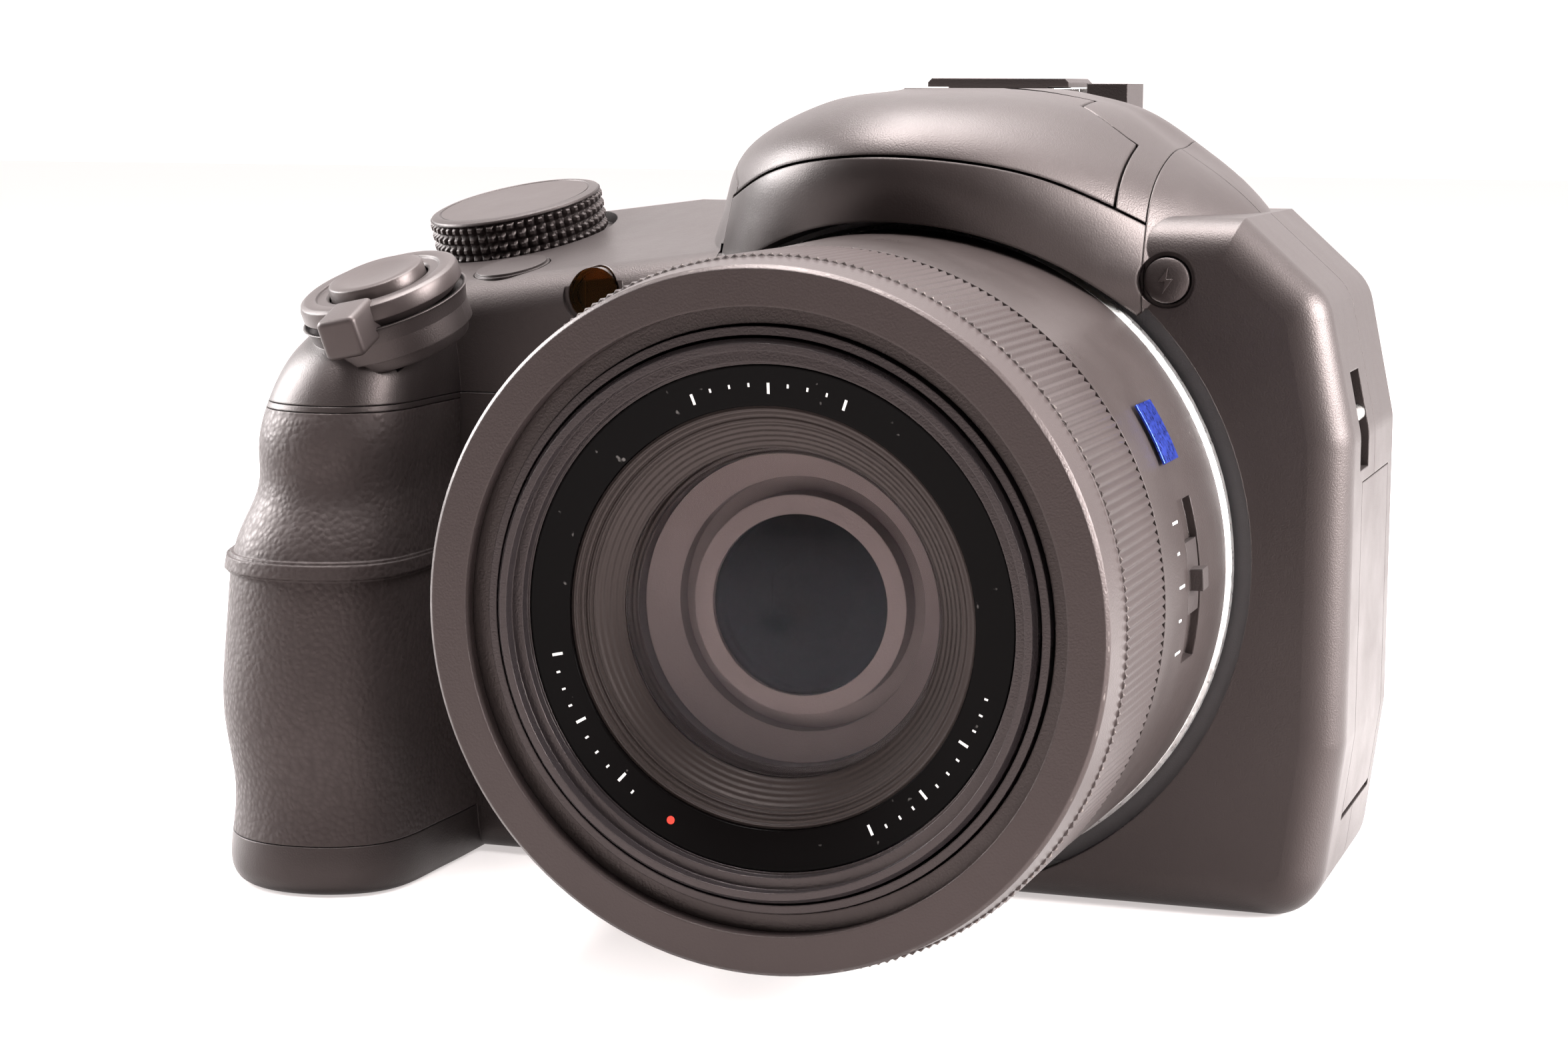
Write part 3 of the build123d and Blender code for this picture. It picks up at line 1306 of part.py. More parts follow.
# The ears that carry the link's pins, beside it at a given height
def hinge_ears(z, front, back):
    for start in (link_x[0] - ear_gap - ear_thick, link_x[1] + ear_gap):
        with BuildSketch(Plane(origin=(start, (front + back) / 2, z), x_dir=(0, 1, 0), z_dir=(1, 0, 0))) as ear:
            RectangleRounded(back - front, ear_high, radius=ear_round)
        extrude(ear.sketch, amount=ear_thick)
    bar_across(z, stub_radius + cover_gap / 2, link_x[0] - ear_gap - ear_thick,
               link_x[1] + ear_gap + ear_thick, Mode.SUBTRACT)


with rear_cover:
    hinge_ears(link_z[0], back_reach - overrun, screen_y[0] - slide_gap)
with BuildPart() as lcd_housing:
    box_between(screen_x, screen_y, screen_z)
    fillet(lcd_housing.edges().filter_by(Axis.Y), radius=2 * overrun)
    fillet(lcd_housing.faces().sort_by(Axis.Y)[-1].edges(), radius=overrun)
    box_between((glass_x[0] - cover_gap, glass_x[1] + cover_gap), (screen_y[1] - glass_thick, outside),
                (glass_z[0] - cover_gap, glass_z[1] + cover_gap), Mode.SUBTRACT)
    hinge_ears(link_z[1], link_y[0], screen_y[0] + overrun)
lcd_housing.part.label = "lcd_housing"
export_step(lcd_housing.part, "parts/lcd_housing.step")
with BuildPart() as lcd_glass:
    box_between(glass_x, (screen_y[1] - glass_thick, screen_y[1]), glass_z)
lcd_glass.part.label = "lcd_glass"
export_step(lcd_glass.part, "parts/lcd_glass.step")

# The rear controls: a round pad with a turning ring, and single buttons
wheel_x = -45.0
wheel_z = 30.0
wheel_radius = 9.0
wheel_bore = 5.6
wheel_rise = 1.6
centre_radius = 4.2
hub_wall = 1.0
playback_x = -38.0
menu_x = -52.0
small_button_z = 46.0
small_radius = 2.6
small_rise = 0.6


def on_back(x, z):
    return Plane(origin=(x, back_reach, z), x_dir=(-1, 0, 0), z_dir=(0, 1, 0))


back_buttons = {"playback_button": (playback_x, small_button_z, small_radius, small_rise),
                "menu_button": (menu_x, small_button_z, small_radius, small_rise),
                "centre_button": (wheel_x, wheel_z, centre_radius, wheel_rise)}
with rear_cover:
    for x, z, radius, rise in back_buttons.values():
        plug(on_back(x, z), radius + button_gap, -2 * wall, 2 * wall, Mode.SUBTRACT)
    plug(on_back(wheel_x, wheel_z), centre_radius + button_gap + hub_wall, -wall / 2,
         wheel_rise - running_gap)
    plug(on_back(wheel_x, wheel_z), centre_radius + button_gap, -2 * wall, 2 * wall, Mode.SUBTRACT)
for node, (x, z, radius, rise) in back_buttons.items():
    with BuildPart() as button:
        push_button(on_back(x, z), radius, rise)
    button.part.label = node
    export_step(button.part, f"parts/{node}.step")
with BuildPart() as control_wheel:
    plug(on_back(wheel_x, wheel_z), wheel_radius, running_gap, wheel_rise)
    plug(on_back(wheel_x, wheel_z), wheel_bore, 0, 2 * wheel_rise, Mode.SUBTRACT)
control_wheel.part.label = "control_wheel"
export_step(control_wheel.part, "parts/control_wheel.step")

# The thumb dial stands half through the back of the top cover, on a post from the deck
thumb_x = -54.5
thumb_y = 8.4
thumb_z = (58.4, 62.4)
thumb_radius = 7.8
thumb_teeth = 40
thumb_plane = Plane(origin=(thumb_x, thumb_y, 0))
thumb_gap = 0.6
with top_cover:
    chord = sqrt(thumb_radius ** 2 - (back_reach - wall - thumb_y) ** 2)
    box_between((thumb_x - chord - thumb_gap, thumb_x + chord + thumb_gap), (back_reach - 2 * wall, outside),
                (thumb_z[0] - slide_gap, thumb_z[1] + slide_gap), Mode.SUBTRACT)
    plug(thumb_plane, post_radius, thumb_z[1] + slide_gap,
         deck_level(thumb_x, thumb_y) - dial_sink - dial_floor / 2)
    plug(thumb_plane, post_radius / 2, cap_height + cover_gap, thumb_z[1] + overrun)
with BuildPart() as control_dial:
    with BuildSketch(thumb_plane.offset(thumb_z[0])) as rim:
        RegularPolygon(thumb_radius, thumb_teeth)
    extrude(amount=thumb_z[1] - thumb_z[0])
    plug(thumb_plane, post_radius / 2 + slide_gap / 4, 0, above, Mode.SUBTRACT)
control_dial.part.label = "control_dial"
export_step(control_dial.part, "parts/control_dial.step")

# The thumb rest is a soft pad on the back of the grip
pad_x = (-76.0, -62.0)
pad_z = (30.0, 54.0)
pad_rise = 1.8
with BuildPart() as thumb_pad:
    with BuildSketch(on_back(0, 0).offset(pad_rise)) as outline:
        with Locations((-(pad_x[0] + pad_x[1]) / 2, (pad_z[0] + pad_z[1]) / 2)):
            RectangleRounded(pad_x[1] - pad_x[0], pad_z[1] - pad_z[0], radius=5 * overrun)
    extrude(amount=-4 * pad_rise)
    fillet(thumb_pad.faces().sort_by(Axis.Y)[-1].edges(), radius=overrun)
    add(grip_form(-cover_gap), mode=Mode.SUBTRACT)
    add(block_form(-cover_gap), mode=Mode.SUBTRACT)
thumb_pad.part.label = "thumb_pad"
export_step(thumb_pad.part, "parts/thumb_pad.step")

for node, cover in (("front_cover", front_cover), ("top_cover", top_cover), ("rear_cover", rear_cover),
                    ("front_band", front_band)):
    cover.part.label = node
    export_step(cover.part, f"parts/{node}.step")
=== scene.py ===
from math import atan2, cos, hypot, pi, radians, sin

import bmesh
import bpy
from mathutils import Matrix, Vector


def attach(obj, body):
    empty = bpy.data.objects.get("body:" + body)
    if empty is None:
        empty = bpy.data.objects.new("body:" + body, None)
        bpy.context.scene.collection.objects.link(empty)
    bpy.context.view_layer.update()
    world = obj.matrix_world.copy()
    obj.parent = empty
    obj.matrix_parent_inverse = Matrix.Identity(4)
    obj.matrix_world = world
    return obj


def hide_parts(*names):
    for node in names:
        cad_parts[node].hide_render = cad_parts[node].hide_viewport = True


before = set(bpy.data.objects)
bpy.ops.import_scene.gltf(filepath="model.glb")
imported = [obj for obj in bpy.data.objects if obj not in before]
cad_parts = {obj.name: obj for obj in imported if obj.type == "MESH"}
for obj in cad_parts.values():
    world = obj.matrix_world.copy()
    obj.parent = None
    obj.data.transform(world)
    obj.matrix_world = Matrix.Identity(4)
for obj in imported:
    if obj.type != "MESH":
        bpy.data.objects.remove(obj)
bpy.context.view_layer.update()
print("frame loaded")

mm = 0.001
lensAxis = 39.5
lensHeight = lensAxis * mm
warmTint = (1.0, 0.83, 0.8, 1.0)


# Node helpers
def addNode(tree, kind, **settings):
    node = tree.nodes.new(kind)
    for key, value in settings.items():
        setattr(node, key, value)
    return node


def newMaterial(name):
    material = bpy.data.materials.new(name)
    material.use_nodes = True
    tree = material.node_tree
    tree.nodes.clear()
    output = addNode(tree, "ShaderNodeOutputMaterial")
    shader = addNode(tree, "ShaderNodeBsdfPrincipled")
    tree.links.new(shader.outputs["BSDF"], output.inputs["Surface"])
    return material, tree, shader


def coordinates(tree):
    return addNode(tree, "ShaderNodeTexCoord").outputs["Object"]


def noiseTexture(tree, scale, detail=3.0, roughness=0.5):
    texture = addNode(tree, "ShaderNodeTexNoise")
    texture.inputs["Scale"].default_value = scale
    texture.inputs["Detail"].default_value = detail
    texture.inputs["Roughness"].default_value = roughness
    tree.links.new(coordinates(tree), texture.inputs["Vector"])
    return texture.outputs["Fac"]


def mathNode(tree, operation, first, second=None):
    node = addNode(tree, "ShaderNodeMath", operation=operation)
    for socket, value in zip(node.inputs, (first, second)):
        if value is None:
            continue
        if isinstance(value, (int, float)):
            socket.default_value = value
        else:
            tree.links.new(value, socket)
    return node.outputs[0]


def mapRange(tree, value, fromMin, fromMax, toMin=0.0, toMax=1.0):
    node = addNode(tree, "ShaderNodeMapRange")
    tree.links.new(value, node.inputs["Value"])
    for key, number in (("From Min", fromMin), ("From Max", fromMax), ("To Min", toMin), ("To Max", toMax)):
        node.inputs[key].default_value = number
    return node.outputs["Result"]


def mixColour(tree, factor, first, second):
    node = addNode(tree, "ShaderNodeMix", data_type="RGBA")
    if isinstance(factor, (int, float)):
        node.inputs[0].default_value = factor
    else:
        tree.links.new(factor, node.inputs[0])
    for socket, value in ((node.inputs[6], first), (node.inputs[7], second)):
        if isinstance(value, tuple):
            socket.default_value = (*value, 1.0)
        else:
            tree.links.new(value, socket)
    return node.outputs[2]


def bumpFrom(tree, shader, height, distance, rounding):
    bump = addNode(tree, "ShaderNodeBump")
    bump.inputs["Strength"].default_value = 1.0
    bump.inputs["Distance"].default_value = distance
    tree.links.new(height, bump.inputs["Height"])
    bevel = addNode(tree, "ShaderNodeBevel", samples=4)
    bevel.inputs["Radius"].default_value = rounding
    tree.links.new(bevel.outputs["Normal"], bump.inputs["Normal"])
    tree.links.new(bump.outputs["Normal"], shader.inputs["Normal"])


# Distance from the lens axis, and depth along it
def lensCoordinates(tree):
    split = addNode(tree, "ShaderNodeSeparateXYZ")
    tree.links.new(coordinates(tree), split.inputs["Vector"])
    rise = mathNode(tree, "SUBTRACT", split.outputs["Z"], lensHeight)
    square = mathNode(tree, "MULTIPLY", split.outputs["X"], split.outputs["X"])
    radius = mathNode(tree, "SQRT", mathNode(tree, "ADD", square, mathNode(tree, "MULTIPLY", rise, rise)))
    return radius, split.outputs["Y"], split.outputs["X"], rise


# A moulded plastic: fine grain, soft colour variation, faint fingerprints in the gloss
def mouldedPlastic(name, colour=(0.0105, 0.0081, 0.0079), roughness=0.44, grain=5200.0, depth=0.03,
                   variation=0.18, rounding=0.22, smear=0.06, specular=0.34):
    material, tree, shader = newMaterial(name)
    tint = noiseTexture(tree, 26.0, 4.0)
    lighter = tuple(min(1.0, channel * (1 + variation)) for channel in colour)
    darker = tuple(channel * (1 - variation) for channel in colour)
    tree.links.new(mixColour(tree, tint, darker, lighter), shader.inputs["Base Color"])
    cloud = noiseTexture(tree, 60.0, 5.0, 0.6)
    tree.links.new(mapRange(tree, cloud, 0.3, 0.7, roughness - smear, roughness + smear), shader.inputs["Roughness"])
    shader.inputs["Specular IOR Level"].default_value = specular
    shader.inputs["Specular Tint"].default_value = warmTint
    fine = noiseTexture(tree, grain, 2.0, 0.55)
    bumpFrom(tree, shader, fine, depth * mm, rounding=rounding * mm)
    return material


# Leather-like skin: small cells with soft hills between the creases
def leatherSkin(name, colour=(0.014, 0.0105, 0.0102), roughness=0.5, cell=1450.0, depth=0.07):
    material, tree, shader = newMaterial(name)
    warp = noiseTexture(tree, 420.0, 3.0)
    shifted = addNode(tree, "ShaderNodeVectorMath", operation="ADD")
    spread = addNode(tree, "ShaderNodeVectorMath", operation="SCALE")
    tree.links.new(coordinates(tree), shifted.inputs[0])
    tree.links.new(warp, spread.inputs[0])
    spread.inputs["Scale"].default_value = 0.0005
    tree.links.new(spread.outputs[0], shifted.inputs[1])
    cells = addNode(tree, "ShaderNodeTexVoronoi", feature="SMOOTH_F1")
    cells.inputs["Scale"].default_value = cell
    cells.inputs["Smoothness"].default_value = 0.35
    tree.links.new(shifted.outputs[0], cells.inputs["Vector"])
    pores = noiseTexture(tree, 2600.0, 3.0)
    height = mathNode(tree, "SUBTRACT", mathNode(tree, "MULTIPLY", pores, 0.35),
                      mathNode(tree, "MULTIPLY", cells.outputs["Distance"], 1.0))
    tint = noiseTexture(tree, 34.0, 4.0)
    darker = tuple(channel * 0.8 for channel in colour)
    lighter = tuple(channel * 1.25 for channel in colour)
    tree.links.new(mixColour(tree, tint, darker, lighter), shader.inputs["Base Color"])
    tree.links.new(mapRange(tree, cells.outputs["Distance"], 0.0, 0.8, roughness - 0.08, roughness + 0.12),
                   shader.inputs["Roughness"])
    shader.inputs["Specular IOR Level"].default_value = 0.34
    shader.inputs["Specular Tint"].default_value = warmTint
    bumpFrom(tree, shader, height, depth * mm, rounding=0.25 * mm)
    return material


# Polished black plastic with faint dust
def glossPlastic(name, colour=(0.0018, 0.0014, 0.0014), roughness=0.07, dust=0.3, specular=0.03):
    material, tree, shader = newMaterial(name)
    shader.inputs["Specular IOR Level"].default_value = specular
    specks = noiseTexture(tree, 900.0, 2.0, 0.4)
    mask = mapRange(tree, specks, 0.74, 0.80, 0.0, dust)
    tree.links.new(mixColour(tree, mask, colour, (0.3, 0.28, 0.27)), shader.inputs["Base Color"])
    haze = noiseTexture(tree, 45.0, 4.0)
    tree.links.new(mapRange(tree, haze, 0.3, 0.75, roughness, roughness + 0.07), shader.inputs["Roughness"])
    bumpFrom(tree, shader, noiseTexture(tree, 70.0, 2.0), 0.02 * mm, rounding=0.25 * mm)
    return material


# Metal with a faint turned or brushed grain
def plainMetal(name, colour=(0.6, 0.59, 0.58), roughness=0.22, grain=1800.0):
    material, tree, shader = newMaterial(name)
    shader.inputs["Metallic"].default_value = 1.0
    tint = noiseTexture(tree, 80.0, 4.0)
    tree.links.new(mixColour(tree, tint, tuple(c * 0.85 for c in colour), colour), shader.inputs["Base Color"])
    streaks = noiseTexture(tree, grain, 3.0)
    tree.links.new(mapRange(tree, streaks, 0.3, 0.7, roughness - 0.06, roughness + 0.08), shader.inputs["Roughness"])
    bumpFrom(tree, shader, streaks, 0.006 * mm, rounding=0.15 * mm)
    return material


# Coated glass, which lets light through and reflects with a faint tint
def coatedGlass(name, tint=(0.75, 0.85, 0.8), coating=(0.35, 0.8, 0.55), weight=0.35):
    material, tree, shader = newMaterial(name)
    shader.inputs["Transmission Weight"].default_value = 1.0
    shader.inputs["IOR"].default_value = 1.17
    shader.inputs["Roughness"].default_value = 0.0
    facing = addNode(tree, "ShaderNodeLayerWeight")
    facing.inputs["Blend"].default_value = 0.3
    shade = mixColour(tree, facing.outputs["Facing"], tint, tuple(c * weight + 0.5 for c in coating))
    tree.links.new(shade, shader.inputs["Base Color"])
    shader.inputs["Specular Tint"].default_value = (*coating, 1.0)
    smear = noiseTexture(tree, 90.0, 5.0)
    tree.links.new(mapRange(tree, smear, 0.45, 0.8, 0.0, 0.03), shader.inputs["Roughness"])
    return material


def paintNode(node, material):
    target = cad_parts[node]
    target.data.materials.clear()
    target.data.materials.append(material)


casingPlastic = mouldedPlastic("casingPlastic")
headPlastic = mouldedPlastic("headPlastic", rounding=0.5)
paints = {
    "front_cover": casingPlastic, "top_cover": casingPlastic, "rear_cover": casingPlastic,
    "bottom_cover": casingPlastic, "evf_housing": casingPlastic, "flash_head": headPlastic,
}
for node, material in paints.items():
    paintNode(node, material)
print("casing painted")

glossBlack = glossPlastic("glossBlack")
bandPlastic = mouldedPlastic("bandPlastic", (0.007, 0.0052, 0.005), 0.36, depth=0.012, rounding=0.4,
                             specular=0.26)
gripLeather = leatherSkin("gripLeather")
softRubber = mouldedPlastic("softRubber", (0.011, 0.0098, 0.0096), 0.66, grain=3000.0, depth=0.06, specular=0.35)
innerPlastic = mouldedPlastic("innerPlastic", (0.04, 0.04, 0.042), 0.55)
steelBar = plainMetal("steelBar", (0.62, 0.6, 0.58), 0.25)
brightRing = plainMetal("brightRing", (0.93, 0.9, 0.88), 0.32)
brassThread = plainMetal("brassThread", (0.72, 0.54, 0.28), 0.3)
castAlloy = plainMetal("castAlloy", (0.5, 0.5, 0.51), 0.42, grain=900.0)


# Barrel plastic: very fine turned grain, worn bright where edges rub
def barrelPlastic(name, colour=(0.03, 0.0235, 0.0245), roughness=0.38, chips=(), turned=0.0, grain=4200.0,
                  rounding=0.2):
    material, tree, shader = newMaterial(name)
    shader.inputs["Specular IOR Level"].default_value = 0.3
    shader.inputs["Specular Tint"].default_value = warmTint
    radius, depth, across, rise = lensCoordinates(tree)
    tint = noiseTexture(tree, 40.0, 4.0)
    base = mixColour(tree, tint, tuple(c * 0.85 for c in colour), tuple(c * 1.2 for c in colour))
    speckle = noiseTexture(tree, 380.0, 5.0, 0.7)
    for edgeRadius, edgeDepth, reach, amount in chips:
        far = mathNode(tree, "SUBTRACT", radius, edgeRadius * mm)
        deep = mathNode(tree, "SUBTRACT", depth, edgeDepth * mm)
        away = mathNode(tree, "SQRT", mathNode(tree, "ADD", mathNode(tree, "MULTIPLY", far, far),
                                               mathNode(tree, "MULTIPLY", deep, deep)))
        near = mapRange(tree, away, 0.0, reach * mm, 1.0, 0.0)
        worn = mapRange(tree, mathNode(tree, "MULTIPLY", near, speckle), amount, amount + 0.2)
        base = mixColour(tree, worn, base, (0.26, 0.225, 0.21))
    tree.links.new(base, shader.inputs["Base Color"])
    cloud = noiseTexture(tree, 70.0, 5.0, 0.6)
    tree.links.new(mapRange(tree, cloud, 0.3, 0.7, roughness - 0.05, roughness + 0.07), shader.inputs["Roughness"])
    fine = noiseTexture(tree, grain, 2.0, 0.55)
    height = fine
    if turned:
        turning = mathNode(tree, "SINE", mathNode(tree, "MULTIPLY", radius, 2 * pi / (turned * mm)))
        height = mathNode(tree, "ADD", mathNode(tree, "MULTIPLY", turning, 1.2), fine)
    bumpFrom(tree, shader, height, 0.03 * mm, rounding=rounding * mm)
    return material


ringPlastic = barrelPlastic("ringPlastic", (0.0165, 0.0122, 0.0118), rounding=0.32,
                            chips=((35.5, -73.9, 0.42, 0.26), (36.3, -69.4, 0.3, 0.36)))
shellPlastic = barrelPlastic("shellPlastic", (0.015, 0.0115, 0.011), 0.32)
innerBarrel = barrelPlastic("innerBarrel", (0.013, 0.0105, 0.011), 0.28, chips=((28.0, -73.5, 0.35, 0.42),))
funnelPlastic = barrelPlastic("funnelPlastic", (0.014, 0.0105, 0.0095), 0.46, turned=0.55)
cellPlastic = barrelPlastic("cellPlastic", (0.12, 0.093, 0.09), 0.5)
frontGlass = coatedGlass("frontGlass", (0.93, 0.92, 0.92), (0.75, 0.68, 0.72), 0.4)
innerGlass = coatedGlass("innerGlass", (0.02, 0.06, 0.055), (0.2, 0.35, 0.45), 0.02)
bluePlate = plainMetal("bluePlate", (0.05, 0.09, 0.55), 0.3)
amberLens = coatedGlass("amberLens", (0.8, 0.35, 0.08), (0.9, 0.6, 0.3), 0.2)
diffuserGlass = coatedGlass("diffuserGlass", (0.85, 0.85, 0.86), (0.9, 0.9, 0.9), 0.3)
screenGlass = glossPlastic("screenGlass", (0.004, 0.004, 0.006), 0.03, 0.2)
boardGreen = glossPlastic("boardGreen", (0.01, 0.09, 0.04), 0.3, 0.3)

paints = {
    "front_band": bandPlastic, "grip_skin": gripLeather, "thumb_pad": softRubber, "lens_ring_trim": brightRing,
    "fixed_barrel": shellPlastic, "lens_base": innerPlastic, "image_sensor": boardGreen,
    "zoom_motor": steelBar, "barrel_plate": bluePlate, "eyecup": softRubber, "eyepiece_lens": frontGlass,
    "finder_display": screenGlass, "accessory_shoe": steelBar, "chassis": castAlloy, "main_board": boardGreen,
    "battery_holder": innerPlastic, "battery": innerPlastic, "memory_card": innerPlastic,
    "tripod_socket": brassThread, "strap_lugs": steelBar, "connector_block": innerPlastic, "af_lamp": amberLens,
    "base_screws": steelBar, "middle_barrel": innerBarrel, "front_barrel": innerBarrel, "name_ring": glossBlack,
    "baffle_ring": funnelPlastic, "front_glass": frontGlass, "lens_cell": cellPlastic,
    "second_glass": innerGlass, "iris_plate": innerBarrel, "manual_ring": ringPlastic,
    "focus_switch": casingPlastic, "mode_dial": casingPlastic, "shutter_button": casingPlastic,
    "zoom_lever": casingPlastic, "power_button": casingPlastic, "custom_button": casingPlastic,
    "flash_button": casingPlastic, "flash_window": diffuserGlass, "flash_pins": steelBar,
    "terminal_door": casingPlastic, "battery_door": casingPlastic, "battery_latch": innerPlastic,
    "lcd_link": innerPlastic, "lcd_housing": casingPlastic, "lcd_glass": screenGlass,
    "diopter_dial": casingPlastic, "control_dial": casingPlastic, "control_wheel": casingPlastic,
    "centre_button": casingPlastic, "playback_button": casingPlastic, "menu_button": casingPlastic,
    "shoe_cover": casingPlastic,
}
for node, material in paints.items():
    paintNode(node, material)
print("nodes painted")


# Builds a mesh piece from points in millimetres and lets it ride on a body
def meshPiece(name, points, faces, material, body, place=Matrix(), replaced=(), smoothAngle=35.0):
    mesh = bpy.data.meshes.new(name)
    mesh.from_pydata([place @ (Vector(point) * mm) for point in points], [], faces)
    mesh.materials.append(material)
    builder = bmesh.new()
    builder.from_mesh(mesh)
    bmesh.ops.remove_doubles(builder, verts=builder.verts, dist=0.001 * mm)
    bmesh.ops.recalc_face_normals(builder, faces=builder.faces)
    for face in builder.faces:
        face.smooth = True
    for edge in builder.edges:
        edge.smooth = len(edge.link_faces) == 2 and edge.calc_face_angle(0.0) < radians(smoothAngle)
    builder.to_mesh(mesh)
    builder.free()
    piece = bpy.data.objects.new(name, mesh)
    bpy.context.scene.collection.objects.link(piece)
    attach(piece, body)
    if replaced:
        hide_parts(*replaced)
    return piece


# Points and faces of an outline of (radius, height) turned about the local Z axis
def turnedShape(profile, steps=96, closed=True, reach=None):
    points, faces = [], []
    count = len(profile)
    for step in range(steps):
        turn = 2 * pi * step / steps
        for index, (radius, height) in enumerate(profile):
            length = radius if reach is None else reach(index, turn, radius)
            points.append((length * cos(turn), length * sin(turn), height))
    spans = count if closed else count - 1
    for step in range(steps):
        following = (step + 1) % steps
        for index in range(spans):
            after = (index + 1) % count
            faces.append((step * count + index, following * count + index, following * count + after,
                          step * count + after))
    return points, faces


# The deck slopes to the left and to the front
deckValues = {"height": 74.0, "from": -50.0, "slopeX": 0.13, "slopeY": 0.22}


def deckLevel(x, y):
    return deckValues["height"] + deckValues["slopeX"] * (x - deckValues["from"]) + deckValues["slopeY"] * y


def deckMatrix(x, y, lift=0.0, share=1.0):
    slopeX, slopeY = deckValues["slopeX"] * share, deckValues["slopeY"] * share
    alongX = Vector((1, 0, slopeX)).normalized()
    normal = Vector((-slopeX, -slopeY, 1)).normalized()
    alongY = normal.cross(alongX)
    origin = Vector((x, y, deckLevel(x, y) + lift)) * mm
    return Matrix(((alongX.x, alongY.x, normal.x, origin.x), (alongX.y, alongY.y, normal.y, origin.y),
                   (alongX.z, alongY.z, normal.z, origin.z), (0, 0, 0, 1)))


# The mode dial: rows of small studs round its edge, a bevelled rim and a bare lid
dialValues = {"place": (-58.2, 2.0), "radius": 10.9, "low": -1.2, "top": 4.7, "bandLow": -0.9, "bandHigh": 4.15,
              "rows": 4, "columns": 52, "studHeight": 0.55, "bevel": 0.95, "lidSink": 0.12, "lidRadius": 9.5}
dialPlastic = mouldedPlastic("dialPlastic", (0.009, 0.0066, 0.0064), 0.42, grain=4200.0, depth=0.02, rounding=0.1,
                             specular=0.3)
lidPlastic = mouldedPlastic("lidPlastic", (0.019, 0.015, 0.0145), 0.46, depth=0.012, smear=0.05, specular=0.2)
whitePrint = mouldedPlastic("whitePrint", (0.62, 0.61, 0.6), 0.5, depth=0.01)


def addModeDial(values):
    place = deckMatrix(*values["place"])
    radius, columns, rows = values["radius"], values["columns"], values["rows"]
    perColumn, perRow = 6, 6
    profile = [(2.4, values["low"]), (radius - 0.6, values["low"])]
    first = len(profile)
    for step in range(rows * perRow + 1):
        level = values["bandLow"] + (values["bandHigh"] - values["bandLow"]) * step / (rows * perRow)
        profile.append((radius, level))
    last = len(profile) - 1
    profile += [(radius - 0.1, values["bandHigh"] + 0.12), (radius - 0.12, values["top"] - values["bevel"] * 0.6),
                (radius - 0.3, values["top"] - values["bevel"] * 0.22), (radius - values["bevel"], values["top"]),
                (values["lidRadius"] + 0.1, values["top"]), (values["lidRadius"], values["top"] - values["lidSink"]),
                (0.01, values["top"] - values["lidSink"]), (0.01, values["low"])]

    def studs(index, turn, length):
        if not first <= index <= last:
            return length
        acrossShare = (turn * columns / (2 * pi)) % 1.0
        upShare = ((index - first) / perRow) % 1.0
        rise = min(1.0, 3.2 * min(acrossShare, 1 - acrossShare)) * min(1.0, 3.2 * min(upShare, 1 - upShare))
        return length - values["studHeight"] * (1 - rise)

    points, faces = turnedShape(profile, columns * perColumn, closed=False, reach=studs)
    meshPiece("modeDial", points, faces, dialPlastic, "mode_dial", place, ("mode_dial",), 30.0)
    points, faces = turnedShape([(0.01, 0.02), (values["lidRadius"] - 0.15, 0.02), (values["lidRadius"] - 0.15, -0.1),
                                 (0.01, -0.1)], 96)
    lidPlace = place @ Matrix.Translation((0, 0, (values["top"] - values["lidSink"] + 0.05) * mm))
    meshPiece("modeDialLid", points, faces, lidPlastic, "mode_dial", lidPlace)


addModeDial(dialValues)
print("mode dial ready")

# The zoom lever and the shutter button share one axis, which leans further forward than the deck
releaseValues = {"place": (-60.0, -33.0), "lift": 1.2, "share": 1.5}
leverValues = {"outer": 9.5, "inner": 5.95, "seat": 7.7, "foot": 0.35, "step": 2.7, "low": 1.1, "top": 3.4,
               "bevel": 0.8, "rim": 7.4, "rimSink": 0.35,
               "tabTurn": -88.0, "tabReach": 14.2, "tabWidth": 4.8, "tabLow": -0.9, "tabTop": 3.9, "tabRound": 0.7}
shutterValues = {"radius": 5.7, "low": -3.2, "top": 4.4, "dish": 0.45, "bevel": 0.55}
leverPlastic = mouldedPlastic("leverPlastic", (0.014, 0.0105, 0.0102), 0.44, grain=3800.0, depth=0.014)
shutterPlastic = mouldedPlastic("shutterPlastic", (0.016, 0.012, 0.0115), 0.4, grain=4200.0, depth=0.012)
releaseMatrix = deckMatrix(*releaseValues["place"], releaseValues["lift"], releaseValues["share"])


# A box with rounded long edges, as rows of points across its width
def roundedBar(length, start, width, low, top, rounding, steps=5):
    outline = []
    for centreY, centreZ, fromTurn in ((width / 2 - rounding, top - rounding, 0),
                                       (rounding - width / 2, top - rounding, 90),
                                       (rounding - width / 2, low + rounding, 180),
                                       (width / 2 - rounding, low + rounding, 270)):
        for step in range(steps + 1):
            turn = radians(fromTurn + 90 * step / steps)
            outline.append((centreY + rounding * cos(turn), centreZ + rounding * sin(turn)))
    middle = (low + top) / 2
    sections = [(start, 1.0)]
    for step in range(steps + 1):
        turn = radians(90 * step / steps)
        sections.append((length - rounding + rounding * sin(turn), 1.0 - (1 - cos(turn)) * 2 * rounding / width))
    points, faces = [], []
    count = len(outline)
    for x, share in sections:
        for y, z in outline:
            points.append((x, y * share, middle + (z - middle) * (1 - (1 - share) * width / (top - low))))
    for row in range(len(sections) - 1):
        for index in range(count):
            after = (index + 1) % count
            faces.append((row * count + index, row * count + after, (row + 1) * count + after,
                          (row + 1) * count + index))
    faces.append(tuple(range(count)))
    faces.append(tuple((len(sections) - 1) * count + index for index in range(count)))
    return points, faces


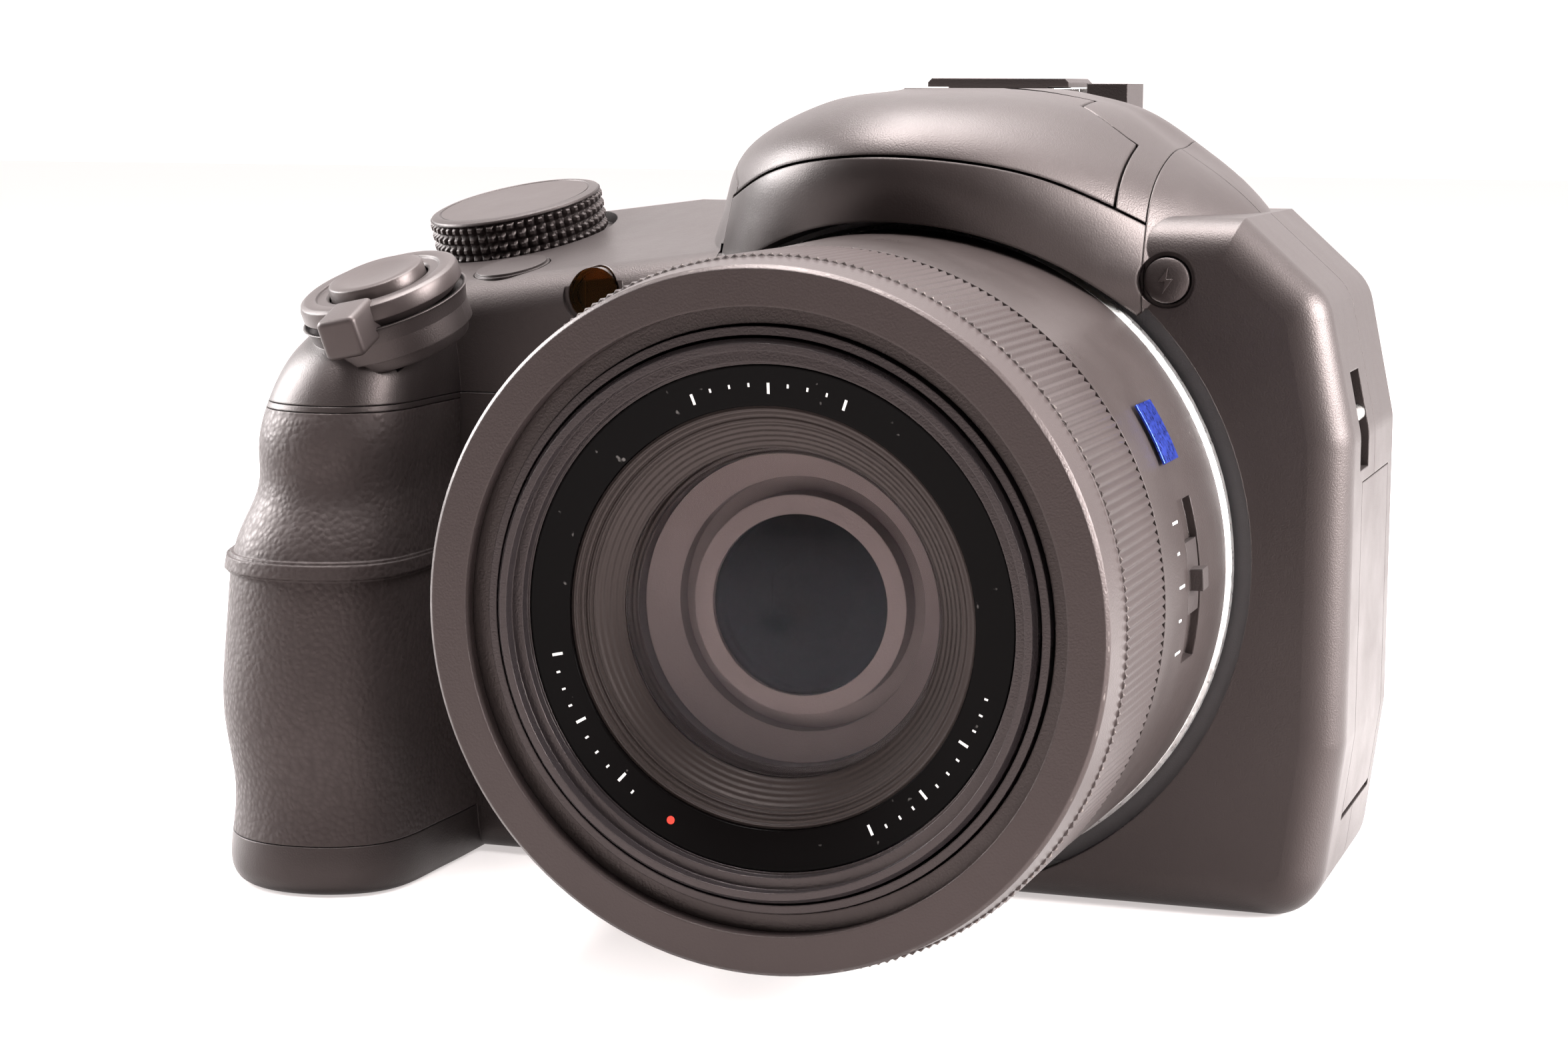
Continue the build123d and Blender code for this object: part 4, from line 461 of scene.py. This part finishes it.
# The raised collar that the lever stands in, as a soft skirt on the deck
collarValues = {"inner": 7.6, "lip": 9.45, "crest": 9.9, "rise": 0.6, "skirt": 8.2, "drop": 5.0, "steps": 12}


def addCollar(values):
    profile = [(values["inner"], 0.05), (values["lip"], 0.05), (values["lip"] + 0.25, values["rise"] - 0.15),
               (values["crest"] - 0.4, values["rise"])]
    for step in range(values["steps"] + 1):
        share = step / values["steps"]
        ease = share * share * (3 - 2 * share)
        profile.append((values["crest"] + (values["skirt"] - values["crest"]) * share,
                        values["rise"] - 0.1 - (values["rise"] + values["drop"]) * ease))
    profile.append((values["inner"], -values["drop"]))
    points, faces = turnedShape(profile, 128)
    meshPiece("releaseCollar", points, faces, casingPlastic, "camera", releaseMatrix)


def addRelease(lever, shutter):
    outer, inner, top, low, bevel = (lever[key] for key in ("outer", "inner", "top", "low", "bevel"))
    rim, sink = lever["rim"], lever["rimSink"]
    seat, foot, step = (lever[key] for key in ("seat", "foot", "step"))
    profile = [(seat, foot), (outer - 1.2, foot), (outer - 0.3, low), (outer, low + 0.3), (outer, top - bevel),
               (outer - bevel * 0.25, top - bevel * 0.35), (outer - bevel * 0.8, top - 0.04), (outer - bevel, top),
               (rim + 0.25, top), (rim + 0.05, top - 0.08), (rim - 0.1, top - sink), (inner + 0.3, top - sink),
               (inner, top - sink - 0.25), (inner, step), (seat, step)]
    points, faces = turnedShape(profile, 128)
    meshPiece("zoomLeverRing", points, faces, leverPlastic, "zoom_lever", releaseMatrix, ("zoom_lever",))
    turned = releaseMatrix @ Matrix.Rotation(radians(lever["tabTurn"]), 4, "Z")
    points, faces = roundedBar(lever["tabReach"], rim + 0.6, lever["tabWidth"], lever["tabLow"], lever["tabTop"],
                               lever["tabRound"])
    meshPiece("zoomLeverTab", points, faces, leverPlastic, "zoom_lever", turned)
    radius, high = shutter["radius"], shutter["top"]
    dish = [((radius - shutter["bevel"]) * share, high - shutter["dish"] * (1 - share ** 2))
            for share in (0.002, 0.25, 0.5, 0.75, 1.0)]
    profile = dish + [(radius - shutter["bevel"] * 0.3, high - shutter["bevel"] * 0.3),
                      (radius, high - shutter["bevel"]), (radius, shutter["low"]), (0.01, shutter["low"])]
    points, faces = turnedShape(profile, 96)
    meshPiece("shutterCap", points, faces, shutterPlastic, "shutter_button", releaseMatrix, ("shutter_button",))


addCollar(collarValues)
addRelease(leverValues, shutterValues)
print("release ready")


# A plane that faces the front, with its own up along Z
def frontMatrix(x, y, z):
    return Matrix(((1, 0, 0, x * mm), (0, 0, -1, y * mm), (0, 1, 0, z * mm), (0, 0, 0, 1)))


# A flat outline with a thickness
def prism(outline, low, high):
    count = len(outline)
    points = [(x, y, low) for x, y in outline] + [(x, y, high) for x, y in outline]
    faces = [tuple(range(count)), tuple(range(count, 2 * count))]
    faces += [(index, (index + 1) % count, (index + 1) % count + count, index + count) for index in range(count)]
    return points, faces


# The button that lifts the flash head: a domed cap with a plain bolt on it
flashButtonValues = {"place": (29.2, -22.0, 71.2), "radius": 2.5, "rise": 0.65, "boltScale": 1.0, "boltRise": 0.08}
boltOutline = [(0.25, 1.45), (-0.85, -0.15), (-0.1, -0.05), (-0.35, -1.45), (0.85, 0.25), (0.08, 0.15)]


def addFlashButton(values):
    place = frontMatrix(*values["place"])
    radius, rise = values["radius"], values["rise"]
    profile = [(0.005, rise), (radius * 0.5, rise - 0.03), (radius * 0.85, rise - 0.12), (radius, rise - 0.35),
               (radius, -2.3), (0.005, -2.3)]
    points, faces = turnedShape(profile, 72)
    meshPiece("flashButtonCap", points, faces, casingPlastic, "flash_button", place, ("flash_button",))
    outline = [(x * values["boltScale"], y * values["boltScale"]) for x, y in boltOutline]
    points, faces = prism(outline, rise - 0.15, rise + values["boltRise"])
    meshPiece("flashButtonBolt", points, faces, leverPlastic, "flash_button", place)


addFlashButton(flashButtonValues)

# Plain marks printed round the lens: ticks on the name ring and by the focus switch
nameRingValues = {"inner": 21.4, "outer": 25.45, "innerDepth": -70.5, "outerDepth": -71.0, "tickFrom": 22.6,
                  "tickTo": 23.7, "tickWidth": 0.2,
                  "groups": ((70, 110, 9), (-62, -16, 12), (192, 232, 10)), "redAt": 244.0, "redRadius": 0.42}
redPrint = mouldedPlastic("redPrint", (0.6, 0.035, 0.02), 0.45, depth=0.01)


# A point on the sloping face of the name ring
def ringPoint(values, radius, turn, lift):
    share = (radius - values["inner"]) / (values["outer"] - values["inner"])
    depth = values["innerDepth"] + share * (values["outerDepth"] - values["innerDepth"])
    return (radius * cos(turn), depth - lift, lensAxis + radius * sin(turn))


def addRingMarks(values):
    points, faces = [], []
    for start, end, count in values["groups"]:
        for step in range(count):
            turn = radians(start + (end - start) * step / (count - 1))
            long = step % 4 == 0
            low = values["tickFrom"] if long else values["tickFrom"] + 0.7
            half = values["tickWidth"] / 2 / values["tickFrom"] * (1.4 if long else 1.0)
            first = len(points)
            for radius, side in ((low, -half), (values["tickTo"], -half), (values["tickTo"], half), (low, half)):
                points.append(ringPoint(values, radius, turn + side, 0.02))
            faces.append(tuple(range(first, first + 4)))
    meshPiece("ringMarks", points, faces, whitePrint, "front_group")
    turn = radians(values["redAt"])
    centre = Vector((23.5 * cos(turn), 23.5 * sin(turn)))
    points = []
    for step in range(24):
        spin = 2 * pi * step / 24
        x, z = centre.x + values["redRadius"] * cos(spin), centre.y + values["redRadius"] * sin(spin)
        points.append(ringPoint(values, hypot(x, z), atan2(z, x), 0.02))
    meshPiece("ringRedMark", points, [tuple(range(24))], redPrint, "front_group")


addRingMarks(nameRingValues)
print("marks ready")

# Plain ticks printed on the barrel in front of the focus switch
barrelMarkValues = {"angles": (13.0, 8.0, 2.5, -3.0, -8.5), "depthFrom": -46.4, "longTo": -44.2, "shortTo": -45.4,
                    "width": 0.28, "frontRadius": 36.3, "backRadius": 36.9, "frontDepth": -52.7, "backDepth": -24.2}


def barrelRadius(values, depth):
    share = (depth - values["frontDepth"]) / (values["backDepth"] - values["frontDepth"])
    return values["frontRadius"] + share * (values["backRadius"] - values["frontRadius"])


def addBarrelMarks(values):
    points, faces = [], []
    for index, angle in enumerate(values["angles"]):
        far = values["longTo"] if index % 2 == 0 else values["shortTo"]
        half = values["width"] / 2 / values["frontRadius"]
        first = len(points)
        for depth, side in ((values["depthFrom"], -half), (far, -half), (far, half), (values["depthFrom"], half)):
            radius = barrelRadius(values, depth) + 0.02
            turn = radians(angle) + side
            points.append((radius * cos(turn), depth, lensAxis + radius * sin(turn)))
        faces.append(tuple(range(first, first + 4)))
    meshPiece("barrelMarks", points, faces, whitePrint, "camera")


addBarrelMarks(barrelMarkValues)

# Camera: solved from the concentric rings of the lens in the photograph
cameraValues = {"place": (100.94, -359.52, 91.87), "azimuth": 18.965, "elevation": 7.916, "roll": 0.221,
                "lens": 71.69}


def addCamera(values):
    turn, tilt, roll = (radians(values[key]) for key in ("azimuth", "elevation", "roll"))
    sight = Vector((-sin(turn) * cos(tilt), cos(turn) * cos(tilt), -sin(tilt)))
    right = sight.cross(Vector((0, 0, 1))).normalized()
    up = right.cross(sight)
    rolledRight = right * cos(roll) + up * sin(roll)
    rolledUp = up * cos(roll) - right * sin(roll)
    data = bpy.data.cameras.new("photoCamera")
    data.lens = values["lens"]
    data.sensor_fit = "HORIZONTAL"
    data.sensor_width = 36.0
    data.clip_start = 0.01
    camera = bpy.data.objects.new("photoCamera", data)
    bpy.context.scene.collection.objects.link(camera)
    camera.matrix_world = Matrix((
        (rolledRight.x, rolledUp.x, -sight.x, values["place"][0] * mm),
        (rolledRight.y, rolledUp.y, -sight.y, values["place"][1] * mm),
        (rolledRight.z, rolledUp.z, -sight.z, values["place"][2] * mm),
        (0, 0, 0, 1)))
    bpy.context.scene.camera = camera


addCamera(cameraValues)

# Studio: a pale floor, a white surround that is dimmer on the photographer's side, and soft lights
studioValues = {"floorSize": 6.0, "floorColour": (0.36, 0.34, 0.335), "floorGlow": 0.55,
                "surround": (1.0, 0.93, 0.92), "frontStrength": 0.02, "backStrength": 1.5,
                "fadeFrom": 0.1, "fadeTo": 0.6, "overhead": 1.0}
lampValues = {
    "topLight": {"place": (0.0, 0.05, 0.75), "aim": (0.0, 0.0, 0.05), "size": 0.6, "power": 26.0},
    "crownLight": {"place": (-0.15, -0.1, 0.7), "aim": (-0.04, -0.02, 0.05), "size": 0.2, "power": 7.0},
    "leftLight": {"place": (-0.68, 0.0, 0.32), "aim": (0.0, 0.0, 0.04), "size": 0.4, "power": 18.0},
    "rightLight": {"place": (0.7, 0.0, 0.3), "aim": (0.0, 0.0, 0.05), "size": 0.4, "power": 46.0},
}


def addStudio(values):
    mesh = bpy.data.meshes.new("studioFloor")
    half = values["floorSize"] / 2
    mesh.from_pydata([(-half, -half, 0), (half, -half, 0), (half, half, 0), (-half, half, 0)], [], [(0, 1, 2, 3)])
    floor = bpy.data.objects.new("studioFloor", mesh)
    bpy.context.scene.collection.objects.link(floor)
    material, tree, shader = newMaterial("floorPaper")
    shader.inputs["Base Color"].default_value = (*values["floorColour"], 1.0)
    shader.inputs["Roughness"].default_value = 0.8
    shader.inputs["Emission Color"].default_value = (*values["surround"], 1.0)
    shader.inputs["Emission Strength"].default_value = values["floorGlow"]
    mesh.materials.append(material)
    world = bpy.data.worlds.new("studioWorld")
    world.use_nodes = True
    tree = world.node_tree
    background = tree.nodes["Background"]
    background.inputs["Color"].default_value = (*values["surround"], 1.0)
    split = addNode(tree, "ShaderNodeSeparateXYZ")
    tree.links.new(addNode(tree, "ShaderNodeTexCoord").outputs["Generated"], split.inputs["Vector"])
    backward = mapRange(tree, split.outputs["Y"], values["fadeFrom"], values["fadeTo"], values["frontStrength"],
                        values["backStrength"])
    upward = mathNode(tree, "MULTIPLY", mathNode(tree, "MAXIMUM", split.outputs["Z"], 0.0), values["overhead"])
    tree.links.new(mathNode(tree, "ADD", backward, upward), background.inputs["Strength"])
    bpy.context.scene.world = world
    bpy.context.scene.view_settings.view_transform = "Standard"


def addLamp(name, values):
    data = bpy.data.lights.new(name, "AREA")
    data.shape = "SQUARE"
    data.size = values["size"]
    data.energy = values["power"]
    lamp = bpy.data.objects.new(name, data)
    bpy.context.scene.collection.objects.link(lamp)
    place = Vector(values["place"])
    lamp.location = place
    lamp.rotation_euler = (Vector(values["aim"]) - place).to_track_quat("-Z", "Y").to_euler()


addStudio(studioValues)
for name, values in lampValues.items():
    addLamp(name, values)
print("studio ready")
